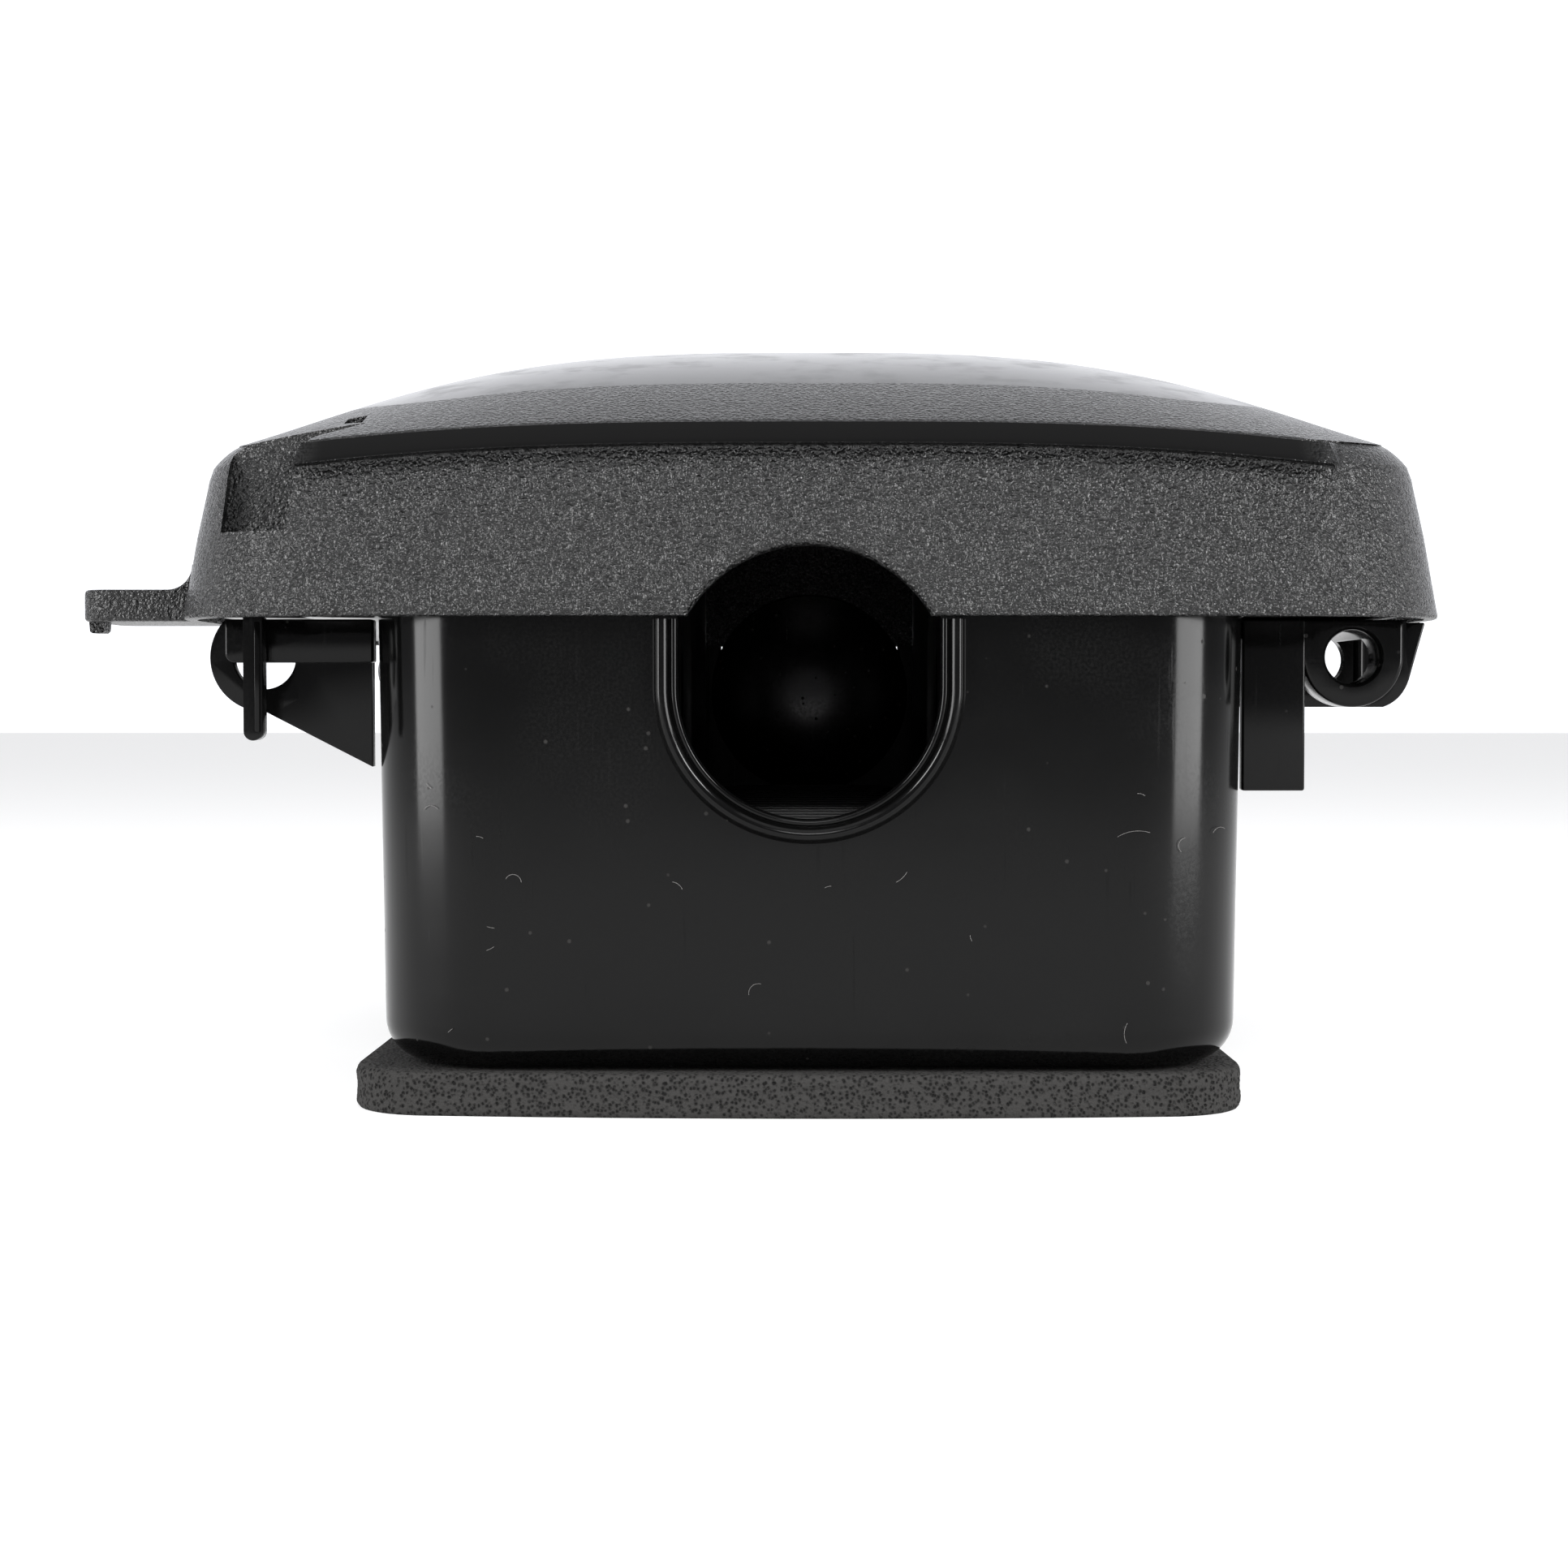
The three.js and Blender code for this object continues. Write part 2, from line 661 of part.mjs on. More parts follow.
// The torsion spring's wire: a leg down the ear, turns round the pin, a leg up the lever.
class SpringWire extends THREE.Curve {
  getPoint(t, target = new THREE.Vector3()) {
    const coil = 2.5;
    const turns = 2.5;
    const leg = 4;
    const legShare = 0.1;
    const start = EAR.front - 0.75;
    const end = LATCH.back + 0.75;
    const along = THREE.MathUtils.clamp((t - legShare) / (1 - 2 * legShare), 0, 1);
    const angle = along * turns * 2 * Math.PI;
    target.set(LATCH.x, start + (end - start) * along, LATCH.z);
    target.x += coil * Math.cos(angle);
    target.z += coil * Math.sin(angle);
    if (t < legShare) {
      target.z += leg * (1 - t / legShare);
    }
    if (t > 1 - legShare) {
      target.z += leg * (1 - (1 - t) / legShare);
    }
    return target;
  }
}

function latchSpring() {
  const wire = 0.4;
  const section = new THREE.Shape();
  section.absarc(0, 0, wire, 0, 2 * Math.PI);
  return solid(
    new THREE.ExtrudeGeometry(section, { steps: 44, curveSegments: 3, extrudePath: new SpringWire() }),
  );
}

// ---- lid ----

function domeHeight(x, y) {
  const { edge, rise, spanX, powerX, spanY, powerY } = DOME;
  const across = 1 - Math.pow(Math.abs(x) / spanX, powerX);
  const lengthwise = 1 - Math.pow(Math.abs(y) / spanY, powerY);
  return edge + rise * across * lengthwise;
}

function lidOutline(halfX, halfY) {
  const corner = LID.corner - (LID.halfX - halfX) * 0.8;
  return ringPoints(halfX, halfY, corner, LID_CORNER_STEPS, LID_EDGE_STEPS);
}

// How much of the undercut below the brow a point has: all of it on the ends, none at the sides.
function browShare(p) {
  const onEnd = Math.abs(p.y) > ROOF_EDGE.halfY - 8;
  return onEnd && Math.abs(p.x) < LID.browEnd ? 1 : 0;
}

function shoulderRing({ halfX, halfY, drop, browY = halfY, browDrop = drop }) {
  const roof = ROOF_EDGE;
  const edge = ringPoints(roof.halfX, roof.halfY, roof.corner, LID_CORNER_STEPS, LID_EDGE_STEPS);
  return lidOutline(halfX, halfY).map((p, i) => {
    const share = browShare(p);
    const y = p.y + Math.sign(p.y) * (browY - halfY) * share;
    const depth = drop + (browDrop - drop) * share;
    return new THREE.Vector3(p.x, y, domeHeight(edge[i].x, edge[i].y) - depth);
  });
}

function wallRing(halfX, halfY, z) {
  return lidOutline(halfX, halfY).map((p) => new THREE.Vector3(p.x, p.y, z));
}

// Rings of the roof from its edge in to a small one round the middle.
function roofRings(halfX, halfY, corner, below) {
  return ROOF_SHARES.map((share) =>
    ringPoints(halfX * share, halfY * share, corner * share, LID_CORNER_STEPS, LID_EDGE_STEPS).map(
      (p) => new THREE.Vector3(p.x, p.y, domeHeight(p.x, p.y) - below),
    ),
  );
}

function lidOuterRings() {
  return [
    wallRing(LID.halfX, LID.halfY, LID.rim),
    wallRing(WALL_WAIST.halfX, WALL_WAIST.halfY, WALL_WAIST.z),
    ...SHOULDER_OUTSIDE.map(shoulderRing),
    ...roofRings(ROOF_EDGE.halfX, ROOF_EDGE.halfY, ROOF_EDGE.corner, 0),
  ];
}

function lidInnerRings() {
  return [
    wallRing(LID.halfX - LID.wall, LID.halfY - LID.wall, LID.rim),
    wallRing(WALL_WAIST.innerHalfX, WALL_WAIST.innerHalfY, WALL_WAIST.z),
    ...SHOULDER_INSIDE.map(shoulderRing),
    ...roofRings(INNER_ROOF.halfX, INNER_ROOF.halfY, INNER_ROOF.corner, LID.roof),
  ];
}

// The key pocket's outline in X and Z, grown by a margin. Its tail runs up along the brow.
function pocketOutline(margin) {
  const { left, leftTop, right, floor, bendX, bendZ, turnX, turnZ, browX, browZ, tailX, tailZ } = POCKET;
  const shape = new THREE.Shape();
  shape.moveTo(left - margin, floor - margin);
  shape.lineTo(right + margin, floor - margin);
  shape.lineTo(bendX + margin, bendZ);
  shape.quadraticCurveTo(turnX + margin, turnZ - margin, browX, browZ - margin);
  shape.lineTo(tailX + margin, tailZ - margin);
  shape.lineTo(tailX + margin, ABOVE_LID);
  shape.lineTo(leftTop - margin, ABOVE_LID);
  return shape;
}

// A body with the pocket's outline whose back leans away from the front wall.
function pocketBody(margin) {
  const front = -LID.halfY - 3;
  const far = 0;
  const geometry = plateGeometry(pocketOutline(margin), front, far, 6);
  const position = geometry.attributes.position;
  for (let i = 0; i < position.count; i += 1) {
    if (Math.abs(position.getY(i) - far) < 0.01) {
      const lean = (position.getZ(i) - POCKET.floor) * POCKET.slope;
      position.setY(i, POCKET.back + lean + margin);
    }
  }
  return solid(geometry);
}

// The flat lift tab on the lid's left side, with a stub under its end and a fillet to the wall.
function liftTab() {
  const { root, tip, front, back, z, thick, corner, fillet } = TAB;
  const top = z + thick;
  const shape = new THREE.Shape();
  shape.moveTo(root, front);
  shape.lineTo(root, back);
  shape.lineTo(tip + corner, back);
  shape.absarc(tip + corner, back - corner, corner, Math.PI / 2, Math.PI);
  shape.absarc(tip + corner, front + corner, corner, Math.PI, 1.5 * Math.PI);
  const nubFront = front + corner;
  const cove = new THREE.Shape();
  cove.moveTo(root, top - 0.5);
  cove.lineTo(root - fillet, top - 0.5);
  cove.lineTo(root - fillet, top);
  cove.quadraticCurveTo(root - fillet / 5, top, root, top + fillet);
  return joined(
    slab(shape, z, top),
    plate(cove, front, back, 4),
    block(TAB_NUB.left, TAB_NUB.right, nubFront, nubFront + TAB_NUB.length, TAB_NUB.bottom, z + 1),
  );
}

function lidKnuckles() {
  const { offsetY, knuckle, spacing, x, z } = HINGE;
  const knuckles = [];
  for (const side of [-1, 1]) {
    for (const end of [-1, 1]) {
      const middle = side * offsetY + end * (knuckle + spacing);
      const y0 = middle - knuckle / 2;
      const y1 = middle + knuckle / 2;
      knuckles.push(joined(hingeKnuckle(y0, y1), block(LID.halfX - 2, x, y0, y1, z - 3, z + 3.3)));
    }
  }
  return joined(...knuckles);
}

// Room in the lid's wall for the base's two knuckles.
function hingeWindows() {
  const windows = [-1, 1].map((side) =>
    block(
      LID.halfX - 10,
      LID.halfX + 4,
      side * HINGE.offsetY - HINGE.knuckle / 2 - HINGE.spacing,
      side * HINGE.offsetY + HINGE.knuckle / 2 + HINGE.spacing,
      LID.rim - 1,
      HINGE.z + HINGE.radius + 1,
    ),
  );
  return joined(...windows);
}

function lidShell() {
  const outer = lidOuterRings();
  const envelope = solid(loft(outer));
  const skin = solid(loft([...lidInnerRings().reverse(), ...outer]));
  const housing = pocketBody(POCKET_SKIN).intersect(envelope);
  const strike = block(
    STRIKE.root,
    STRIKE.inner,
    STRIKE.front,
    STRIKE.back,
    STRIKE.top - STRIKE.thick,
    STRIKE.top,
  );
  const keySlot = block(
    KEY_SLOT.left,
    KEY_SLOT.right,
    KEY_SLOT.front,
    KEY_SLOT.back,
    POCKET.floor - 2 * POCKET_SKIN,
    POCKET.floor + 1,
  );
  const notch = block(NOTCH.left, NOTCH.right, NOTCH.front, NOTCH.back, NOTCH.bottom, ABOVE_LID);
  const rails = [-1, 1].map((side) => {
    const middle = side * (CARD.halfX + (CARD_RAIL.outside - CARD_RAIL.under) / 2);
    const half = (CARD_RAIL.outside + CARD_RAIL.under) / 2;
    return block(
      middle - half,
      middle + half,
      -CARD.halfY - 1,
      CARD.halfY + 1,
      CARD.z - CARD_RAIL.depth,
      CARD.z + CARD_RAIL.height,
    );
  });
  const cardSlot = block(
    -CARD.halfX - GAP,
    CARD.halfX + GAP,
    -CARD.halfY - 3,
    CARD.halfY + 3,
    CARD.z - GAP,
    CARD.z + CARD.thick + GAP,
  );
  const railPair = cut(joined(...rails).intersect(envelope), cardSlot);
  const pocket = pocketBody(0);
  const arch = lengthways(0, MOUTH.lidZ, MOUTH.lidRadius, -LID.halfY - 5, -LID.halfY + 12, 48);
  const body = joined(
    skin,
    housing,
    mirroredFrontToRear(housing),
    strike.intersect(envelope),
    mirroredFrontToRear(strike).intersect(envelope),
    railPair,
    liftTab(),
    lidKnuckles(),
  );
  return cut(
    body,
    pocket,
    mirroredFrontToRear(pocket),
    keySlot,
    mirroredFrontToRear(keySlot),
    notch,
    mirroredFrontToRear(notch),
    arch,
    mirroredFrontToRear(arch),
    hingeWindows(),
    hingeBores(),
  );
}

function serviceCard() {
  return block(-CARD.halfX, CARD.halfX, -CARD.halfY, CARD.halfY, CARD.z, CARD.z + CARD.thick);
}

function hingePin(side) {
  const half = HINGE.knuckle * 1.5 + HINGE.spacing + GAP;
  const head = 1;
  const middle = side * HINGE.offsetY;
  return joined(
    lengthways(HINGE.x, HINGE.z, HINGE.pin, middle - half, middle + half),
    lengthways(HINGE.x, HINGE.z, HINGE.pin + 1.2, middle - half - head, middle - half),
    lengthways(HINGE.x, HINGE.z, HINGE.pin + 1.2, middle + half, middle + half + head),
  );
}

// ---- the assembly ----

const station = new THREE.Group();
const base = new THREE.Group();
const lid = new THREE.Group();
station.add(base, lid);

function addPiece(group, name, body, material) {
  const mesh = new THREE.Mesh(geometryOf(body), material);
  mesh.name = name;
  group.add(mesh);
}

addPiece(base, "foam_pad", foamPad(), FOAM_GREY);
addPiece(base, "base_box", baseBox(), GLOSS_BLACK);
addPiece(base, "flange_left", flangeLeft(), GLOSS_BLACK);
addPiece(base, "flange_right", flangeRight(), GLOSS_BLACK);
addPiece(base, "rear_entry_blank", rearEntryBlank(), GLOSS_BLACK);
addPiece(base, "ballast_plate", ballastPlate(), IRON);
addPiece(base, "runway_tray", runwayTray(), TRAY_GREY);
addPiece(base, "baffle_right", laneBaffle(), TRAY_GREY);
addPiece(base, "baffle_left", laneBaffle().mirror([1, 0, 0]), TRAY_GREY);

const ENDS = [
  { end: "front", placed: (body) => body },
  { end: "rear", placed: mirroredFrontToRear },
];
for (const { end, placed } of ENDS) {
  addPiece(base, `eye_bracket_${end}`, placed(eyeBracket()), GLOSS_BLACK);
  addPiece(base, `lug_bracket_${end}`, placed(lugBracket()), GLOSS_BLACK);
  addPiece(base, `latch_pin_${end}`, placed(latchPin()), STEEL);
  addPiece(base, `latch_spring_${end}`, placed(latchSpring()), STEEL);
  addPiece(base, `latch_lever_${end}`, placed(latchLever()), GLOSS_BLACK);
}

for (const place of rodPlaces()) {
  addPiece(base, `bait_rod_${place.name}`, baitRod(place), STEEL);
  addPiece(base, `bait_block_${place.name}_lower`, baitBlock(place, BAIT.first), BAIT_GREEN);
  addPiece(base, `bait_block_${place.name}_upper`, baitBlock(place, BAIT.first + BAIT.pitch), BAIT_GREEN);
}

addPiece(lid, "lid_shell", lidShell(), GRAIN_BLACK);
addPiece(lid, "service_card", serviceCard(), CARD_WHITE);
addPiece(base, "hinge_pin_front", hingePin(-1), STEEL);
addPiece(base, "hinge_pin_rear", hingePin(1), STEEL);

export default station;
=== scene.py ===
"""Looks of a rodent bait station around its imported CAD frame.

Shapes are worked out in millimetres and become metres in make_mesh. +Z is up, the open mouth
faces -Y and the hinge is on the +X side.
"""

import math
import random

import bmesh
import bpy
from mathutils import Matrix, Vector, noise


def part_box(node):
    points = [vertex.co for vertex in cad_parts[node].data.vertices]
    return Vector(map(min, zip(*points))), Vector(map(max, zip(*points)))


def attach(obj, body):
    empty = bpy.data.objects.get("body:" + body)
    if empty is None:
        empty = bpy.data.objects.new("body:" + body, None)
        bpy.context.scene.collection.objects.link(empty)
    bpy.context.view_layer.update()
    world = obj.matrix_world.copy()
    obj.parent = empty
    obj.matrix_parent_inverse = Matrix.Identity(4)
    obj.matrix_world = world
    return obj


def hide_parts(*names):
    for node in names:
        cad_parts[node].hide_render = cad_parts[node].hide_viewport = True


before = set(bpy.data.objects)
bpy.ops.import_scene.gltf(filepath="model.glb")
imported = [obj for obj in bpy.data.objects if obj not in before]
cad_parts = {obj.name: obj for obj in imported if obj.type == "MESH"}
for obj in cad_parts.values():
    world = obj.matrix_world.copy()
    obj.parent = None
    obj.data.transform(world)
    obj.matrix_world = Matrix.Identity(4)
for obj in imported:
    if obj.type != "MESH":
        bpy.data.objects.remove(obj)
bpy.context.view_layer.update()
MM = 0.001
SEED = 20


def box_mm(node):
    """Lowest and highest corner of a CAD node, in millimetres."""
    low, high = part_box(node)
    return low / MM, high / MM


# ---- camera

EYE = Vector((0, -0.5307, 0.0662))
FOCAL_MM = 60.73
YAW_DEG = 0.545
PITCH_DEG = -1.69


def make_camera():
    data = bpy.data.cameras.new("camera")
    data.lens = FOCAL_MM
    data.sensor_width = 36
    data.clip_start = 0.01
    camera = bpy.data.objects.new("camera", data)
    camera.location = EYE
    camera.rotation_euler = (math.radians(90 + PITCH_DEG), 0, math.radians(YAW_DEG))
    bpy.context.scene.collection.objects.link(camera)
    bpy.context.scene.camera = camera


make_camera()

# ---- sizes, in millimetres

BOX_LOW, BOX_HIGH = box_mm("base_box")
BOX_FLOOR = BOX_LOW.z
BOX_TOP = BOX_HIGH.z
BOX_HALF_X = BOX_HIGH.x
BOX_HALF_Y = 107.0
BOX_CORNER = 20.0
BOX_DRAFT = 1.0
BOX_WALL = 2.6
BOX_FOOT = 7.0

MOUTH_Z = 69.1
MOUTH_R = 21.1
LID_MOUTH_Z = 69.4
LID_MOUTH_R = 22.4
BRACKET_TOP = 80.6

LID_RIM = 80.5
LID_HALF_X = 105.0
LID_HALF_Y = 110.3
LID_CORNER = 26.0
LID_WALL = 2.2
ROOF_HALF_X = 95.5
ROOF_HALF_Y = 101.8
ROOF_CORNER = 17.0
ROOF_THICK = 2.6
ROOF_INNER = (92.5, 95.6, 14.0)
DOME_SPAN_X = 112
DOME_POWER_X = 2.97
DOME_SPAN_Y = 117
DOME_POWER_Y = 2.44
DOME_EDGE = 103.9
DOME_RISE = 29.7
WAIST = (102.7, 108.2, 94.0)
INNER_WAIST = (100.5, 106.0, 94.0)
BROW_END = 84.5
PATCH_HALF_X = 80.0
PATCH_HALF_Y = 83.5
PATCH_CORNER = 22.0

FLANGE_Z = 81.0
FLANGE_THICK = 2.4

HINGE_X = 108.5
HINGE_Z = 84.2
HINGE_R = 4.2
HINGE_BORE = 1.9
HINGE_OFFSET = 30.0
KNUCKLE = 10.0
KNUCKLE_SPACE = 0.6

LATCH_X = -91.5
LATCH_Z = 84.0
LATCH_BORE = 1.5

POCKET_LEFT = -95.6
POCKET_FLOOR = 94.3
POCKET_BACK = -98.5
POCKET_SLOPE = 0.28
POCKET_SKIN = 2.0
ABOVE_LID = 140.0

TAB_TIP = -123.4
TAB_FRONT = -84.0
TAB_BACK = -56.0
TAB_THICK = 5.4

TRAY_LOW = 44.6
TRAY_HIGH = 47.0
ROD_PLACES = {
    "front_left": (-46, -45),
    "front_right": (46, -45),
    "rear_left": (-46, 45),
    "rear_right": (46, 45),
}

# ---- mesh helpers


def raw_mesh(name, verts, faces):
    mesh = bpy.data.meshes.new(name)
    mesh.from_pydata([(x * MM, y * MM, z * MM) for x, y, z in verts], [], faces)
    return mesh


def make_mesh(name, verts, faces, material, body, sharp_deg=35):
    """A mesh object from points in millimetres, riding on a CAD body."""
    return place(name, raw_mesh(name, verts, faces), material, body, sharp_deg)


def place(name, mesh, material, body, sharp_deg=35):
    mesh.validate()
    mesh.polygons.foreach_set("use_smooth", [True] * len(mesh.polygons))
    mesh.set_sharp_from_angle(angle=math.radians(sharp_deg))
    mesh.materials.clear()
    mesh.materials.append(material)
    piece = bpy.data.objects.new(name, mesh)
    bpy.context.scene.collection.objects.link(piece)
    if body:
        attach(piece, body)
    return piece


def stands_for(node):
    """The piece takes a CAD node's place: the node is hidden."""
    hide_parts(node)


def loft(rings):
    """Points and faces through rings with equal counts, anticlockwise from above and running
    upwards. Both ends are capped."""
    count = len(rings[0])
    verts = [tuple(p) for ring in rings for p in ring]
    last = (len(rings) - 1) * count
    faces = []
    for low in range(0, last, count):
        high = low + count
        for i in range(count):
            j = (i + 1) % count
            faces.append((low + i, low + j, high + j, high + i))
    faces.append(tuple(reversed(range(count))))
    faces.append(tuple(range(last, last + count)))
    return verts, faces


def ring_outline(half_x, half_y, radius, corner_steps, steps_x, steps_y):
    """Points of a rounded rectangle, anticlockwise, with the same count whatever its size."""
    points = []
    corners = [(1, -1), (1, 1), (-1, 1), (-1, -1)]
    for quarter, (sx, sy) in enumerate(corners):
        cx = sx * (half_x - radius)
        cy = sy * (half_y - radius)
        start = (quarter - 1) * math.pi / 2
        for step in range(corner_steps + 1):
            angle = start + step / corner_steps * math.pi / 2
            points.append((cx + radius * math.cos(angle), cy + radius * math.sin(angle)))
        nx, ny = corners[(quarter + 1) % 4]
        angle = start + math.pi / 2
        ex = nx * (half_x - radius) + radius * math.cos(angle)
        ey = ny * (half_y - radius) + radius * math.sin(angle)
        px, py = points[-1]
        steps = steps_y if quarter % 2 == 0 else steps_x
        for step in range(1, steps):
            t = step / steps
            points.append((px + (ex - px) * t, py + (ey - py) * t))
    return points


def arc(cx, cy, radius, start_deg, end_deg, steps):
    """Points on an arc, both ends included."""
    out = []
    for step in range(steps + 1):
        a = math.radians(start_deg + (end_deg - start_deg) * step / steps)
        out.append((cx + radius * math.cos(a), cy + radius * math.sin(a)))
    return out


def bent(start, bend, end, steps):
    """Points of a quadratic curve after its start, up to its end."""
    points = []
    for step in range(1, steps + 1):
        t = step / steps
        weights = ((1 - t) ** 2, 2 * t * (1 - t), t * t)
        points.append(tuple(sum(w * p[k] for w, p in zip(weights, (start, bend, end))) for k in (0, 1)))
    return points


def prism(outline, low, high, axis):
    """An outline extruded along "x" (outline in Y, Z), "y" (in X, Z) or "z" (in X, Y)."""
    place_point = {
        "x": lambda u, v, w: (w, u, v),
        "y": lambda u, v, w: (u, w, v),
        "z": lambda u, v, w: (u, v, w),
    }[axis]
    count = len(outline)
    verts = [place_point(u, v, w) for w in (low, high) for u, v in outline]
    faces = [tuple(reversed(range(count))), tuple(range(count, 2 * count))]
    for i in range(count):
        j = (i + 1) % count
        faces.append((i, j, j + count, i + count))
    return verts, faces


def rod(cx, cz, radius, y0, y1, steps=48):
    """A round bar along Y."""
    return prism(arc(cx, cz, radius, 0, 360 - 360 / steps, steps - 1), y0, y1, "y")


def rod_up(x, y, radius, z0, z1, sides=32):
    """An upright round bar."""
    return prism(arc(x, y, radius, 0, 360 - 360 / sides, sides - 1), z0, z1, "z")


def box_body(x0, x1, y0, y1, z0, z1):
    return prism([(x0, y0), (x1, y0), (x1, y1), (x0, y1)], z0, z1, "z")


def loose_object(verts, faces):
    """A bare object used as a boolean tool and then thrown away."""
    mesh = raw_mesh("tool", verts, faces)
    bm = bmesh.new()
    bm.from_mesh(mesh)
    bmesh.ops.recalc_face_normals(bm, faces=bm.faces)
    bm.to_mesh(mesh)
    bm.free()
    tool = bpy.data.objects.new("tool", mesh)
    bpy.context.scene.collection.objects.link(tool)
    return tool


def applied(piece):
    """Applies the object's modifiers to its mesh."""
    graph = bpy.context.evaluated_depsgraph_get()
    mesh = bpy.data.meshes.new_from_object(piece.evaluated_get(graph))
    old = piece.data
    piece.modifiers.clear()
    piece.data = mesh
    bpy.data.meshes.remove(old)


def boolean(piece, body, operation):
    """body is (points, faces), or a loose object that is used up."""
    tool = body if isinstance(body, bpy.types.Object) else loose_object(*body)
    modifier = piece.modifiers.new("cut", "BOOLEAN")
    modifier.operation = operation
    modifier.solver = "EXACT"
    modifier.object = tool
    bpy.context.view_layer.update()
    applied(piece)
    bpy.data.objects.remove(tool)


def rounded(piece, width, segments=2, angle_deg=40):
    """Rounds the sharp edges of a piece."""
    modifier = piece.modifiers.new("edges", "BEVEL")
    modifier.width = width * MM
    modifier.segments = segments
    modifier.limit_method = "ANGLE"
    modifier.angle_limit = math.radians(angle_deg)
    modifier.miter_outer = "MITER_ARC"
    modifier.harden_normals = False
    bpy.context.view_layer.update()
    applied(piece)


def worked(bodies, cuts=(), edge=0.0, segments=2):
    """A loose object: bodies joined, cuts taken away, edges rounded."""
    first = bodies[0]
    piece = first if isinstance(first, bpy.types.Object) else loose_object(*first)
    for extra in bodies[1:]:
        boolean(piece, extra, "UNION")
    for tool in cuts:
        boolean(piece, tool, "DIFFERENCE")
    if edge:
        rounded(piece, edge, segments)
    return piece


def moulding(name, bodies, cuts, material, body, edge=0.0, sharp_deg=35):
    """A moulded piece in its place."""
    piece = worked(bodies, cuts, edge)
    mesh = piece.data
    mesh.name = name
    bpy.data.objects.remove(piece)
    return place(name, mesh, material, body, sharp_deg)


def flipped(shape, sx, sy):
    """A body mirrored in X or Y: one of sx and sy is -1."""
    verts, faces = shape
    return [(sx * x, sy * y, z) for x, y, z in verts], [tuple(reversed(f)) for f in faces]


def mirror_y(shape):
    return flipped(shape, 1, -1)


def both_ends(make):
    """The front body and its mirror image at the rear."""
    return [make(), mirror_y(make())]


def sweep(path, normals, section):
    """A section of (outward, along Y) points carried along a path in X and Z."""
    rings = []
    for (px, pz), (nx, nz) in zip(path, normals):
        rings.append([(px + nx * r, d, pz + nz * r) for r, d in section])
    return loft(rings)


def tube(points, radius, sides=12):
    """A round wire through points, with flat ends."""
    rings = []
    points = [Vector(p) for p in points]
    up = Vector((0.13, 0.21, 0.97)).normalized()
    for i, p in enumerate(points):
        ahead = points[min(i + 1, len(points) - 1)]
        behind = points[max(i - 1, 0)]
        along = (ahead - behind).normalized()
        side = along.cross(up).normalized()
        up = side.cross(along).normalized()
        ring = []
        for k in range(sides):
            a = 2 * math.pi * k / sides
            ring.append(p + side * (radius * math.cos(a)) + up * (radius * math.sin(a)))
        rings.append(ring)
    return loft(rings)

# ---- material helpers


